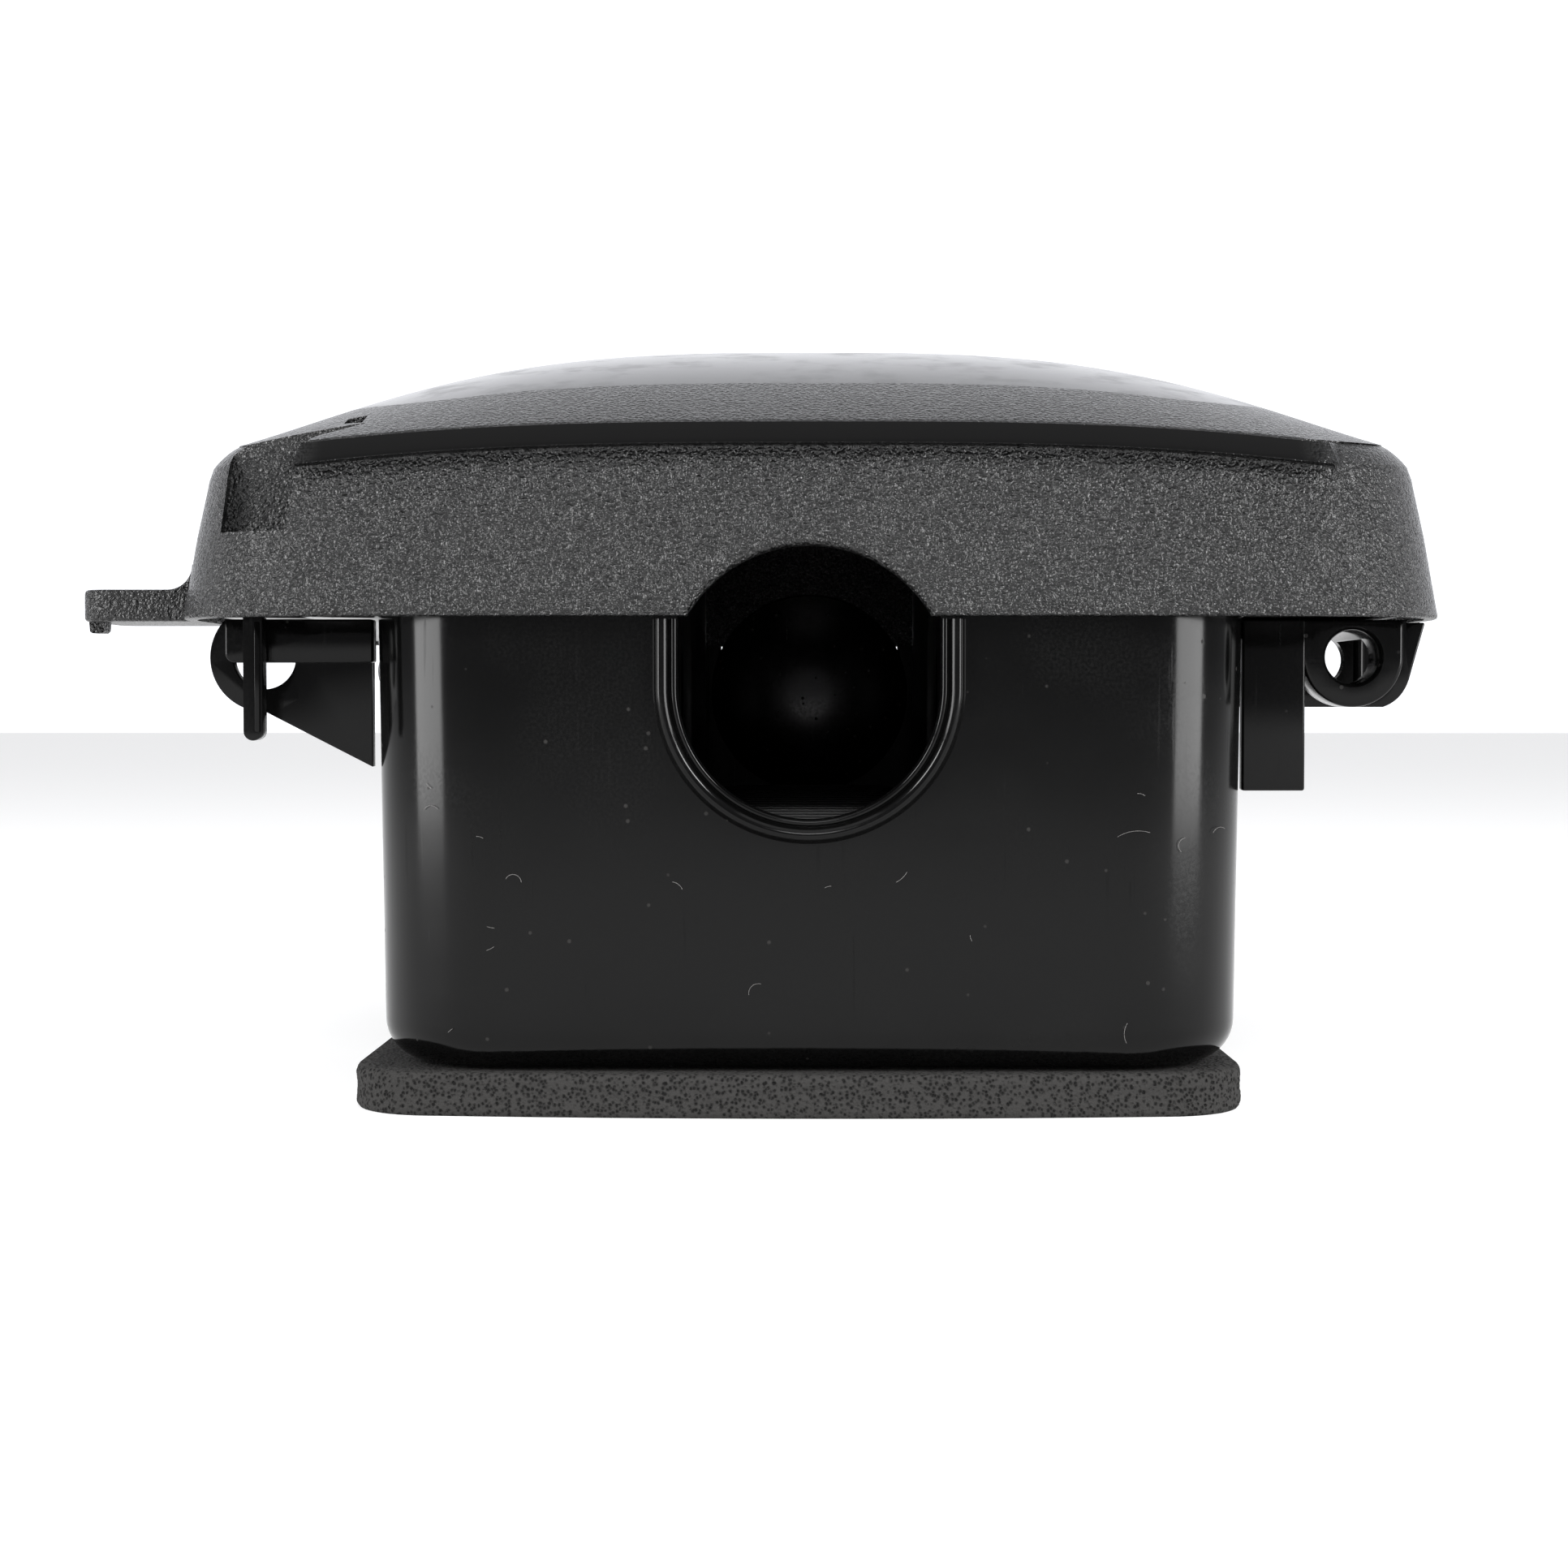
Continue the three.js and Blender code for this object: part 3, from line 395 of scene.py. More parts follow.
class Look:
    """A node material under construction, with short calls for the nodes that the looks share."""

    def __init__(self, name):
        self.material = bpy.data.materials.new(name)
        self.material.use_nodes = True
        self.tree = self.material.node_tree
        self.tree.nodes.clear()
        self.out = self.tree.nodes.new("ShaderNodeOutputMaterial")
        self.shader = self.tree.nodes.new("ShaderNodeBsdfPrincipled")
        self.tree.links.new(self.shader.outputs["BSDF"], self.out.inputs["Surface"])
        self.place = self.tree.nodes.new("ShaderNodeTexCoord").outputs["Object"]

    def link(self, value, socket):
        if isinstance(value, (int, float, tuple)):
            socket.default_value = value
        else:
            self.tree.links.new(value, socket)

    def shader_set(self, **values):
        for name, value in values.items():
            self.link(value, self.shader.inputs[name.replace("_", " ")])

    def math(self, operation, a, b=0.0, c=0.0):
        node = self.tree.nodes.new("ShaderNodeMath")
        node.operation = operation
        for value, socket in zip((a, b, c), node.inputs):
            self.link(value, socket)
        return node.outputs[0]

    def times(self, a, b):
        return self.math("MULTIPLY", a, b)

    def plus(self, a, b):
        return self.math("ADD", a, b)

    def mapped(self, scale=(1, 1, 1), turn=(0, 0, 0)):
        node = self.tree.nodes.new("ShaderNodeMapping")
        self.tree.links.new(self.place, node.inputs["Vector"])
        node.inputs["Scale"].default_value = scale
        node.inputs["Rotation"].default_value = turn
        return node.outputs[0]

    def split(self, vector):
        node = self.tree.nodes.new("ShaderNodeSeparateXYZ")
        self.tree.links.new(vector, node.inputs[0])
        return node.outputs

    def noise(self, size_mm, detail=2.0, rough=0.5, vector=None, distortion=0.0):
        """Noise whose blobs are about size_mm across."""
        node = self.tree.nodes.new("ShaderNodeTexNoise")
        self.tree.links.new(vector or self.place, node.inputs["Vector"])
        node.inputs["Scale"].default_value = 1 / (size_mm * MM)
        node.inputs["Detail"].default_value = detail
        node.inputs["Roughness"].default_value = rough
        node.inputs["Distortion"].default_value = distortion
        return node.outputs[0]

    def cells(self, size_mm, feature="F1", output="Distance"):
        """Scattered points about size_mm apart."""
        node = self.tree.nodes.new("ShaderNodeTexVoronoi")
        node.feature = feature
        self.tree.links.new(self.place, node.inputs["Vector"])
        node.inputs["Scale"].default_value = 1 / (size_mm * MM)
        return node.outputs[output]

    def ramp(self, value, low, high, out_low=0.0, out_high=1.0):
        """A smooth step from out_low to out_high as value goes from low to high."""
        node = self.tree.nodes.new("ShaderNodeMapRange")
        node.interpolation_type = "SMOOTHSTEP"
        self.link(value, node.inputs["Value"])
        limits = {"From Min": low, "From Max": high, "To Min": out_low, "To Max": out_high}
        for name, limit in limits.items():
            node.inputs[name].default_value = limit
        return node.outputs[0]

    def mix(self, share, a, b, kind="RGBA"):
        """Colour a turning into colour b."""
        node = self.tree.nodes.new("ShaderNodeMix")
        node.data_type = kind
        self.link(share, node.inputs["Factor"])
        self.link(a, node.inputs["A"])
        self.link(b, node.inputs["B"])
        return node.outputs["Result"]

    def blend_values(self, share, a, b):
        return self.mix(share, a, b, "FLOAT")

    def bump(self, height, depth_mm, strength=1.0, onto=None):
        """A normal from a height field of 0 to 1 that is depth_mm deep."""
        node = self.tree.nodes.new("ShaderNodeBump")
        node.inputs["Distance"].default_value = depth_mm * MM
        self.link(strength, node.inputs["Strength"])
        self.tree.links.new(height, node.inputs["Height"])
        if onto is not None:
            self.tree.links.new(onto, node.inputs["Normal"])
        self.tree.links.new(node.outputs[0], self.shader.inputs["Normal"])
        return node.outputs[0]


def grey(value, warm=0.0):
    return (value * (1 + warm), value, value * (1 - warm), 1.0)


def dust_specks(look, size_mm, share):
    """Scattered specks: 1 on a speck and 0 elsewhere. share is roughly how many cells hold one."""
    near = look.cells(size_mm)
    chance = look.split(look.cells(size_mm, output="Color"))[0]
    chosen = look.ramp(chance, 1 - share, 1 - share + 0.01)
    return look.times(look.ramp(near, 0.14, 0.06), chosen)


def scratches(look, turn, spacing_mm):
    """Long thin marks at one angle, worn in patches."""
    stretched = look.mapped(scale=(1, 1, 0.03), turn=turn)
    lines = look.ramp(look.noise(spacing_mm, 1.0, 0.5, stretched), 0.66, 0.70)
    patches = look.ramp(look.noise(18, 2.0, 0.5), 0.5, 0.62)
    return look.times(lines, patches)


def gloss_black(name="gloss_black", dust=1.0, shine=0.2):
    """Polished black moulding with fine dust, faint vertical draw marks and light scratches. More dust
    also lightens its colour, which on the rear blank is partly painted light.
    """
    look = Look(name)
    fine = look.noise(0.5, 3.0, 0.6)
    cloud = look.ramp(look.noise(22, 3.0, 0.55), 0.35, 0.75)
    draw = look.noise(0.9, 2.0, 0.5, look.mapped(scale=(1, 1, 0.02)))
    specks = dust_specks(look, 3.2, 0.22 * dust)
    marks = scratches(look, (0.3, 0.9, 0.2), 0.8)
    film = look.times(cloud, look.ramp(fine, 0.35, 0.7))
    base = look.mix(look.times(film, 0.3 * dust), grey(0.0016), grey(0.008, 0.02))
    dusty = look.mix(look.times(specks, 0.3), base, grey(0.05, 0.04))
    look.shader_set(Base_Color=dusty, IOR=1.45, Specular_IOR_Level=shine)
    rough = look.blend_values(film, 0.12, 0.24)
    rough = look.plus(rough, look.times(specks, 0.4))
    rough = look.plus(rough, look.times(marks, 0.12))
    look.shader_set(Roughness=rough)
    height = look.plus(look.times(draw, 0.5), look.times(marks, -0.6))
    ripple = look.bump(look.noise(14, 1.0, 0.4), 0.06, 0.5)
    look.bump(height, 0.008, 0.35, onto=ripple)
    return look.material


def rounded_box_distance(look, x, y, half_x, half_y, corner):
    """Distance outside a rounded rectangle about the origin, less its corner radius."""
    across = look.math("SUBTRACT", look.math("ABSOLUTE", x), (half_x - corner) * MM)
    along = look.math("SUBTRACT", look.math("ABSOLUTE", y), (half_y - corner) * MM)
    square_x = look.math("POWER", look.math("MAXIMUM", across, 0.0), 2.0)
    square_y = look.math("POWER", look.math("MAXIMUM", along, 0.0), 2.0)
    outside = look.math("SQRT", look.plus(square_x, square_y))
    inside = look.math("MINIMUM", look.math("MAXIMUM", across, along), 0.0)
    return look.plus(outside, inside)


def roof_patch(look, x, y, z):
    """1 on the smooth middle of the roof, which ends in a slightly ragged edge."""
    wobble = look.times(look.noise(0.7, 2.0, 0.6), 0.0006)
    edge = look.plus(PATCH_CORNER * MM - 0.0003, wobble)
    distance = rounded_box_distance(look, x, y, PATCH_HALF_X, PATCH_HALF_Y, PATCH_CORNER)
    roof = look.ramp(z, 0.1085, 0.1095)
    return look.times(look.math("LESS_THAN", distance, edge), roof)


def brow_hollow(look, x, y, z):
    """1 in the hollow under the brow. It follows the height of the roof's edge over the ends."""
    from_middle = look.math("ABSOLUTE", x)
    across = look.math("POWER", look.math("DIVIDE", from_middle, DOME_SPAN_X * MM), DOME_POWER_X)
    edge_height = look.math("MULTIPLY_ADD", across, -0.00857, 0.11247)
    drop = look.math("SUBTRACT", edge_height, z)
    hollow = look.times(look.ramp(drop, 0.0003, 0.0006), look.ramp(drop, 0.0046, 0.0042))
    hollow = look.times(hollow, look.ramp(from_middle, 0.0865, 0.0775))
    return look.times(hollow, look.ramp(look.math("ABSOLUTE", y), 0.0975, 0.0985))


def grained_black():
    """Spark-eroded black plastic, smooth in the middle of the roof and under the brow. Its grain's peaks
    are coloured lighter as painted glints, and its specular is cut in the hollow under the brow as
    painted shade.
    """
    look = Look("grain_black")
    x, y, z = look.split(look.place)
    patch = roof_patch(look, x, y, z)
    hollow = brow_hollow(look, x, y, z)
    smooth_part = look.math("MAXIMUM", patch, hollow)
    worms = look.cells(0.5, "SMOOTH_F1")
    coarse = look.noise(0.62, 1.0, 0.5, distortion=0.4)
    fine = look.noise(0.3, 1.0, 0.5)
    grain = look.plus(look.times(worms, -0.7), look.times(coarse, 1.2))
    grain = look.plus(grain, look.times(fine, 0.35))
    wear = look.ramp(look.noise(30, 3.0, 0.6), 0.3, 0.75)
    mottled = look.mix(wear, grey(0.001), grey(0.003))
    # The grain's peaks get a lighter colour than its valleys: painted glints.
    peaks = look.ramp(grain, 0.36, 0.62)
    rough_colour = look.mix(peaks, mottled, grey(0.012))
    colour = look.mix(smooth_part, rough_colour, grey(0.002))
    swirl = look.ramp(look.noise(9, 3.0, 0.6), 0.45, 0.7)
    smooth_rough = look.blend_values(swirl, 0.16, 0.24)
    rough = look.blend_values(smooth_part, look.blend_values(peaks, 0.27, 0.2), smooth_rough)
    # The specular is cut to almost nothing in the hollow under the brow: painted shade.
    specular = look.blend_values(hollow, 0.45, 0.08)
    look.shader_set(Base_Color=colour, Roughness=rough, IOR=1.45, Specular_IOR_Level=specular)
    grained = look.math("SUBTRACT", 1.0, smooth_part)
    ripple = look.bump(look.noise(12, 1.0, 0.4), 0.05, 0.4)
    look.bump(grain, 0.4, grained, onto=ripple)
    return look.material


def foam_grey():
    """Open-cell foam: its colour is darker in the pores than on the struts between them, which is painted
    shade in the pores, with some random tone.
    """
    look = Look("foam")
    pores = look.cells(0.7)
    small = look.cells(0.42)
    struts = look.ramp(look.plus(pores, look.times(look.noise(1.3), 0.3)), 0.25, 0.75)
    fuzz = look.noise(0.5, 3.0, 0.7)
    tone = look.plus(look.times(struts, 0.5), look.times(fuzz, 0.7))
    # Darker where the pores sink in: painted shade. The fuzz adds random tone.
    colour = look.mix(look.ramp(tone, 0.25, 0.85), grey(0.004, 0.02), grey(0.03, 0.03))
    look.shader_set(Base_Color=colour, Roughness=0.95, Specular_IOR_Level=0.15)
    deep = look.bump(struts, 0.45, 0.9)
    look.bump(small, 0.2, 0.6, onto=deep)
    return look.material


def satin_grey():
    """Satin dark grey moulding of the tray and baffles."""
    look = Look("tray_grey")
    texture = look.noise(0.45, 2.0, 0.6)
    cloud = look.noise(25, 3.0, 0.5)
    specks = dust_specks(look, 4.5, 0.2)
    colour = look.mix(cloud, grey(0.03), grey(0.05, 0.02))
    colour = look.mix(look.times(specks, 0.4), colour, grey(0.2, 0.05))
    look.shader_set(Base_Color=colour, IOR=1.48, Roughness=look.blend_values(texture, 0.36, 0.56))
    look.bump(texture, 0.05, 0.5)
    return look.material


def bait_wax():
    """Pressed wax and grain: pale flecks and dark crumbs in a green binder."""
    look = Look("bait")
    flecks = look.cells(1.8)
    chance = look.split(look.cells(1.8, output="Color"))[1]
    light = look.times(look.ramp(flecks, 0.42, 0.3), look.ramp(chance, 0.62, 0.66))
    dark = look.times(look.ramp(flecks, 0.4, 0.3), look.ramp(chance, 0.24, 0.2))
    cloud = look.noise(5, 3.0, 0.6)
    colour = look.mix(cloud, (0.012, 0.14, 0.1, 1.0), (0.03, 0.22, 0.16, 1.0))
    colour = look.mix(look.times(light, 0.75), colour, (0.38, 0.34, 0.2, 1.0))
    colour = look.mix(look.times(dark, 0.6), colour, (0.01, 0.05, 0.035, 1.0))
    look.shader_set(Base_Color=colour, Subsurface_Weight=0.12, Subsurface_Scale=0.002)
    look.shader_set(Roughness=look.blend_values(look.noise(0.7), 0.45, 0.75))
    rough = look.bump(look.noise(1.4, 3.0, 0.65), 0.35, 0.7)
    look.bump(flecks, 0.2, 0.4, onto=rough)
    return look.material


def steel_wire():
    """Drawn, zinc-bright steel with fine lines along its length."""
    look = Look("steel")
    lines = look.noise(0.16, 2.0, 0.5, look.mapped(scale=(1, 1, 0.02)))
    stains = look.ramp(look.noise(4, 3.0, 0.6), 0.52, 0.75)
    colour = look.mix(stains, (0.56, 0.57, 0.58, 1.0), (0.36, 0.35, 0.33, 1.0))
    look.shader_set(Base_Color=colour, Metallic=1.0)
    look.shader_set(Roughness=look.blend_values(stains, 0.24, 0.45))
    look.bump(lines, 0.01, 0.5)
    return look.material


def cast_iron():
    """Rough sand-cast plate with faint rust in patches."""
    look = Look("ballast_iron")
    sand = look.noise(0.9, 4.0, 0.7)
    rust = look.ramp(look.noise(9, 4.0, 0.65), 0.52, 0.68)
    colour = look.mix(rust, grey(0.045), (0.13, 0.055, 0.028, 1.0))
    look.shader_set(Base_Color=colour, Metallic=0.4, Roughness=look.blend_values(rust, 0.6, 0.9))
    look.bump(sand, 0.3, 0.8)
    return look.material


def ruled_card():
    """Blank record card with faint ruled lines."""
    look = Look("card")
    x, y, z = look.split(look.place)
    row = look.math("PINGPONG", y, 0.003)
    line = look.ramp(row, 0.0001, 0.0002, 1.0, 0.0)
    column = look.math("PINGPONG", x, 0.0125)
    rule = look.math("MAXIMUM", line, look.ramp(column, 0.0001, 0.0002, 1.0, 0.0))
    paper = look.mix(look.noise(6, 4.0, 0.6), (0.72, 0.71, 0.66, 1.0), (0.8, 0.79, 0.75, 1.0))
    colour = look.mix(look.times(rule, 0.5), paper, (0.2, 0.24, 0.3, 1.0))
    look.shader_set(Base_Color=colour, Roughness=look.blend_values(look.noise(0.5), 0.7, 0.85))
    look.bump(look.noise(0.3, 2.0, 0.6), 0.02, 0.4)
    return look.material


def lint():
    """Pale grey fibres."""
    look = Look("lint")
    colour = look.mix(look.noise(0.5), grey(0.07, 0.03), grey(0.2, 0.03))
    look.shader_set(Base_Color=colour, Roughness=look.blend_values(look.noise(0.2), 0.7, 0.9))
    return look.material


GLOSS = gloss_black()
# A dustier, lighter copy for the blank deep in the box: real dust, and painted light for the light coming
# in through the mouth.
DUST_AND_PAINTED_LIGHT = gloss_black("dusty_black_painted_light", 3.0, 0.35)
GRAIN = grained_black()
FOAM = foam_grey()
TRAY = satin_grey()
BAIT = bait_wax()
STEEL = steel_wire()
IRON = cast_iron()
CARD = ruled_card()
LINT = lint()

# ---- foam pad


def foam_pad():
    """A cut foam slab with slightly bowed ends, soft edges and open pores round its sides."""
    low, high = box_mm("foam_pad")
    middle = (low.x + high.x) / 2
    half_x = (high.x - low.x) / 2
    corner = 14.0
    bow = 2.8
    flat_half_y = high.y - bow
    outline = ring_outline(half_x, flat_half_y, corner, 26, 190, 260)
    reach = half_x - corner
    levels = 16
    edge = 0.9
    rings = []
    for level in range(levels + 1):
        t = level / levels
        z = low.z + (high.z - low.z) * t
        soft = edge * (abs(2 * t - 1) ** 6)
        waist = 0.35 * math.sin(math.pi * t)
        ring = []
        for x, y in outline:
            share = max(0.0, 1 - (x / reach) ** 2) if abs(x) < reach else 0.0
            bowed = y + math.copysign(bow * share, y) * (abs(y) / flat_half_y) ** 8
            here = Vector((x * 0.9, bowed * 0.9, z * 1.1))
            pore = noise.noise(here * 1.4) * 0.28 + noise.noise(here * 0.45) * 0.22
            inset = soft + waist - pore * (1 - abs(2 * t - 1) ** 4)
            scale = 1 - inset / math.hypot(x, y)
            ring.append((middle + x * scale, bowed * scale, z))
        rings.append(ring)
    inner = [[(middle + (x - middle) * s, y * s, z) for x, y, z in rings[-1]] for s in (0.96, 0.9)]
    under = [[(middle + (x - middle) * s, y * s, z) for x, y, z in rings[0]] for s in (0.9, 0.96)]
    piece = make_mesh("foam_cushion", *loft(under + rings + inner), FOAM, "base", 60)
    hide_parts("foam_pad")


foam_pad()

# ---- box


def box_ring(half_x, half_y, radius, z):
    """A level ring of the box's wall."""
    return [(x, y, z) for x, y in ring_outline(half_x, half_y, max(radius, 1.0), 20, 12, 16)]


def box_shell():
    """The deep box, lofted from its foot fillet up, with an open mouth through each end."""
    rings = []
    foot_steps = 10
    low_half = BOX_HALF_X - BOX_DRAFT
    for step in range(foot_steps + 1):
        angle = step / foot_steps * math.pi / 2
        inset = BOX_FOOT * (1 - math.sin(angle))
        z = BOX_FLOOR + BOX_FOOT * (1 - math.cos(angle))
        rings.append(box_ring(low_half - inset, BOX_HALF_Y - inset, BOX_CORNER - inset, z))
    wall_steps = 12
    foot_top = BOX_FLOOR + BOX_FOOT
    for step in range(1, wall_steps + 1):
        t = step / wall_steps
        z = foot_top + (BOX_TOP - foot_top) * t
        rings.append(box_ring(BOX_HALF_X - BOX_DRAFT * (1 - t), BOX_HALF_Y, BOX_CORNER, z))
    inner_y = BOX_HALF_Y - BOX_WALL
    inner_corner = BOX_CORNER - BOX_WALL
    rings.append(box_ring(BOX_HALF_X - BOX_WALL, inner_y, inner_corner, BOX_TOP))
    floor = BOX_FLOOR + BOX_WALL
    low_half -= BOX_WALL
    fillet = 4.4
    rings.append(box_ring(low_half, inner_y, inner_corner, floor + fillet))
    for step in range(1, 5):
        angle = step / 4 * math.pi / 2
        inset = fillet * (1 - math.cos(angle))
        z = floor + fillet * (1 - math.sin(angle))
        rings.append(box_ring(low_half - inset, inner_y - inset, inner_corner - inset, z))
    post_top = TRAY_LOW - 0.3
    posts = []
    for x in (-58, 58):
        for y in (-91, 91):
            posts.append(prism(arc(x, y, 4, 0, 345, 23), floor - 1, post_top, "z"))
    throat = [(-MOUTH_R, BOX_TOP + 3)] + arc(0, MOUTH_Z, MOUTH_R, 180, 360, 64)
    throat.append((MOUTH_R, BOX_TOP + 3))
    cuts = [
        prism(throat, -BOX_HALF_Y - 5, -BOX_HALF_Y + 6, "y"),
        prism(throat, BOX_HALF_Y - 6, BOX_HALF_Y + 5, "y"),
    ]
    piece = moulding("box_shell", [loft(rings), *posts], cuts, GLOSS, "base", sharp_deg=30)
    stands_for("base_box")


# The collar's section going outwards: distance from the mouth's edge, and depth from the wall.
COLLAR_SECTION = [
    *((0.02, 3.0), (0.02, -0.7), (0.12, -1.05), (0.4, -1.3), (0.75, -1.3), (1.0, -1.05)),
    *((1.12, -0.75), (1.3, -0.78), (1.5, -1.1), (1.85, -1.5), (2.35, -1.78), (2.8, -1.78)),
    *((3.2, -1.5), (3.5, -1.0), (3.62, -0.45), (3.9, -0.06), (4.1, 0.3)),
]


def mouth_collars():
    """A bead and a rounded band round each mouth, carried along the U of its edge."""
    top = BOX_TOP - 0.6
    arch = 72
    path = [(-MOUTH_R, top), (-MOUTH_R, MOUTH_Z + 4)]
    normals = [(-1, 0), (-1, 0)]
    for step in range(arch + 1):
        angle = math.pi + math.pi * step / arch
        normals.append((math.cos(angle), math.sin(angle)))
        path.append((MOUTH_R * normals[-1][0], MOUTH_Z + MOUTH_R * normals[-1][1]))
    path += [(MOUTH_R, MOUTH_Z + 4), (MOUTH_R, top)]
    normals += [(1, 0), (1, 0)]
    verts, faces = sweep(path, normals, COLLAR_SECTION)
    front = [(x, y - BOX_HALF_Y, z) for x, y, z in verts], faces
    for name, shape in (("mouth_collar_front", front), ("mouth_collar_rear", mirror_y(front))):
        piece = make_mesh(name, *shape, GLOSS, "base", 50)


box_shell()
mouth_collars()

# ---- lid

LID_STEPS = (26, 64, 64)  # points round a corner, along X and along Y


def dome(x, y):
    """Height of the lid's roof."""
    across = 1 - (abs(x) / DOME_SPAN_X) ** DOME_POWER_X
    along = 1 - (abs(y) / DOME_SPAN_Y) ** DOME_POWER_Y
    return DOME_EDGE + DOME_RISE * across * along


# Profiles of the shoulder going up: half width or half length, and depth below the roof's edge.
SIDE_PROFILE = [
    *((101.0, 7.0), (100.8, 5.9), (100.4, 4.8), (100.0, 3.7), (99.2, 2.75), (98.4, 1.95)),
    *((97.6, 1.25), (96.9, 0.72), (96.3, 0.36), (95.8, 0.1), (95.5, 0.0)),
]
BROW_PROFILE = [
    *((106.3, 5.6), (106.2, 5.1), (105.9, 4.7), (105.4, 4.45), (104.7, 4.35), (100.2, 4.35)),
    *((100.2, 0.65), (101.2, 0.6), (101.75, 0.55), (101.95, 0.4), (101.95, 0.2), (101.8, 0.0)),
]


def along_profile(profile, share):
    """The profile's point at a share of its length, 0 to 1."""
    lengths = [math.dist(a, b) for a, b in zip(profile, profile[1:])]
    left = share * sum(lengths)
    for (a, b), length in zip(zip(profile, profile[1:]), lengths):
        if left <= length:
            t = left / length
            return a[0] + (b[0] - a[0]) * t, a[1] + (b[1] - a[1]) * t
        left -= length
    return profile[-1]


def smooth(t):
    """A smooth step from 0 to 1."""
    t = min(1.0, max(0.0, t))
    return t * t * (3 - 2 * t)


def lid_outline(half_x, half_y):
    """The wall's outline, whose corners get tighter as it draws in."""
    corner = LID_CORNER - (LID_HALF_X - half_x) * 0.8
    return ring_outline(half_x, half_y, corner, *LID_STEPS)


def roof_outline(half_x, half_y, corner):
    return ring_outline(half_x, half_y, corner, *LID_STEPS)


def wall_ring(half_x, half_y, z):
    return [(x, y, z) for x, y in lid_outline(half_x, half_y)]


def wall_rings(low, high, steps):
    """Level rings from low to high, each (half_x, half_y, z), high left out."""
    out = []
    for step in range(steps):
        t = step / steps
        out.append(wall_ring(*(a + (b - a) * t for a, b in zip(low, high))))
    return out


def edge_heights():
    """Heights of the points of the roof's edge."""
    return [dome(x, y) for x, y in roof_outline(ROOF_HALF_X, ROOF_HALF_Y, ROOF_CORNER)]


def shoulder_rings():
    """Rings from the top of the wall to the roof's edge, hollowed under the brow on the ends."""
    heights = edge_heights()
    steps = 22
    rings = []
    for step in range(steps):
        share = step / steps
        half_x, drop = along_profile(SIDE_PROFILE, share)
        half_y = ROOF_HALF_Y + 0.79 * (half_x - ROOF_HALF_X)
        brow_y, brow_drop = along_profile(BROW_PROFILE, share)
        ring = []
        for (x, y), height in zip(lid_outline(half_x, half_y), heights):
            on_end = 1.0 if abs(y) > half_y - 5 else 0.0
            brow = on_end * smooth((BROW_END + 0.6 - abs(x)) / 1.2)
            here_y = y + math.copysign((brow_y - half_y) * brow, y)
            ring.append((x, here_y, height - drop - (brow_drop - drop) * brow))
        rings.append(ring)
    return rings


def roof_rings(half_x, half_y, corner, below, count):
    """Rings on the dome, from its edge to a small one round the middle."""
    rings = []
    for step in range(count):
        share = 1 - 0.985 * (step / (count - 1)) ** 1.25
        outline = roof_outline(half_x * share, half_y * share, corner * share)
        rings.append([(x, y, dome(x, y) - below) for x, y in outline])
    return rings


def inner_shoulder():
    """Rings inside the shoulder, from the wall up."""
    heights = edge_heights()
    profile = [(98.8, 104.0, 9.8), (98.2, 103.5, 8.6), (97.4, 102.6, 7.4), (95.2, 97.4, 5.2)]
    rings = []
    for half_x, half_y, drop in profile:
        outline = lid_outline(half_x, half_y)
        rings.append([(x, y, height - drop) for (x, y), height in zip(outline, heights)])
    return rings


def lid_outside():
    """Rings of the lid's outside: a rounded rim, the wall, the shoulder and the roof."""
    rim_round = [
        (LID_HALF_X - 0.6, LID_HALF_Y - 0.6, LID_RIM),
        (LID_HALF_X - 0.18, LID_HALF_Y - 0.18, LID_RIM + 0.18),
        (LID_HALF_X - 0.05, LID_HALF_Y - 0.05, LID_RIM + 0.6),
    ]
    rings = [wall_ring(*ring) for ring in rim_round]
    rings += wall_rings((LID_HALF_X - 0.25, LID_HALF_Y - 0.2, LID_RIM + 1.6), WAIST, 8)
    shoulder = shoulder_rings()
    foot = wall_ring(*WAIST)
    steps = 7
    for step in range(steps):
        t = step / steps
        pairs = zip(foot, shoulder[0])
        rings.append([tuple(a + (b - a) * t for a, b in zip(p, q)) for p, q in pairs])
    return rings + shoulder + roof_rings(ROOF_HALF_X, ROOF_HALF_Y, ROOF_CORNER, 0.0, 34)


def lid_inside():
    rim = (LID_HALF_X - LID_WALL, LID_HALF_Y - LID_WALL, LID_RIM)
    rings = [*wall_rings(rim, INNER_WAIST, 5), wall_ring(*INNER_WAIST)]
    return rings + inner_shoulder() + roof_rings(*ROOF_INNER, ROOF_THICK, 20)


def pocket_outline(margin):
    """The key pocket in X and Z. Its tail runs up along the brow."""
    start = (-82.7, 103.0)
    steps = 14
    points = [start] + bent(start, (-82.0, 109.8), (-79.7, 110.4), steps)
    curve = [(x + margin, z - margin * step / steps) for step, (x, z) in enumerate(points)]
    tail = -73.2 + margin
    return [
        (POCKET_LEFT - margin, POCKET_FLOOR - margin),
        (-83.7 + margin, POCKET_FLOOR - margin),
        *curve,
        (tail, 112.8 - margin),
        (tail, ABOVE_LID),
        (-92.4 - margin, ABOVE_LID),
    ]


def pocket_body(margin):
    """The pocket's outline carried in from the front, with a back that leans away going up."""
    outline = pocket_outline(margin)
    verts, faces = prism(outline, -LID_HALF_Y - 3, 0, "y")
    count = len(outline)
    out = []
    for index, (x, y, z) in enumerate(verts):
        if index >= count:
            y = POCKET_BACK + (z - POCKET_FLOOR) * POCKET_SLOPE + margin
        out.append((x, y, z))
    return out, faces


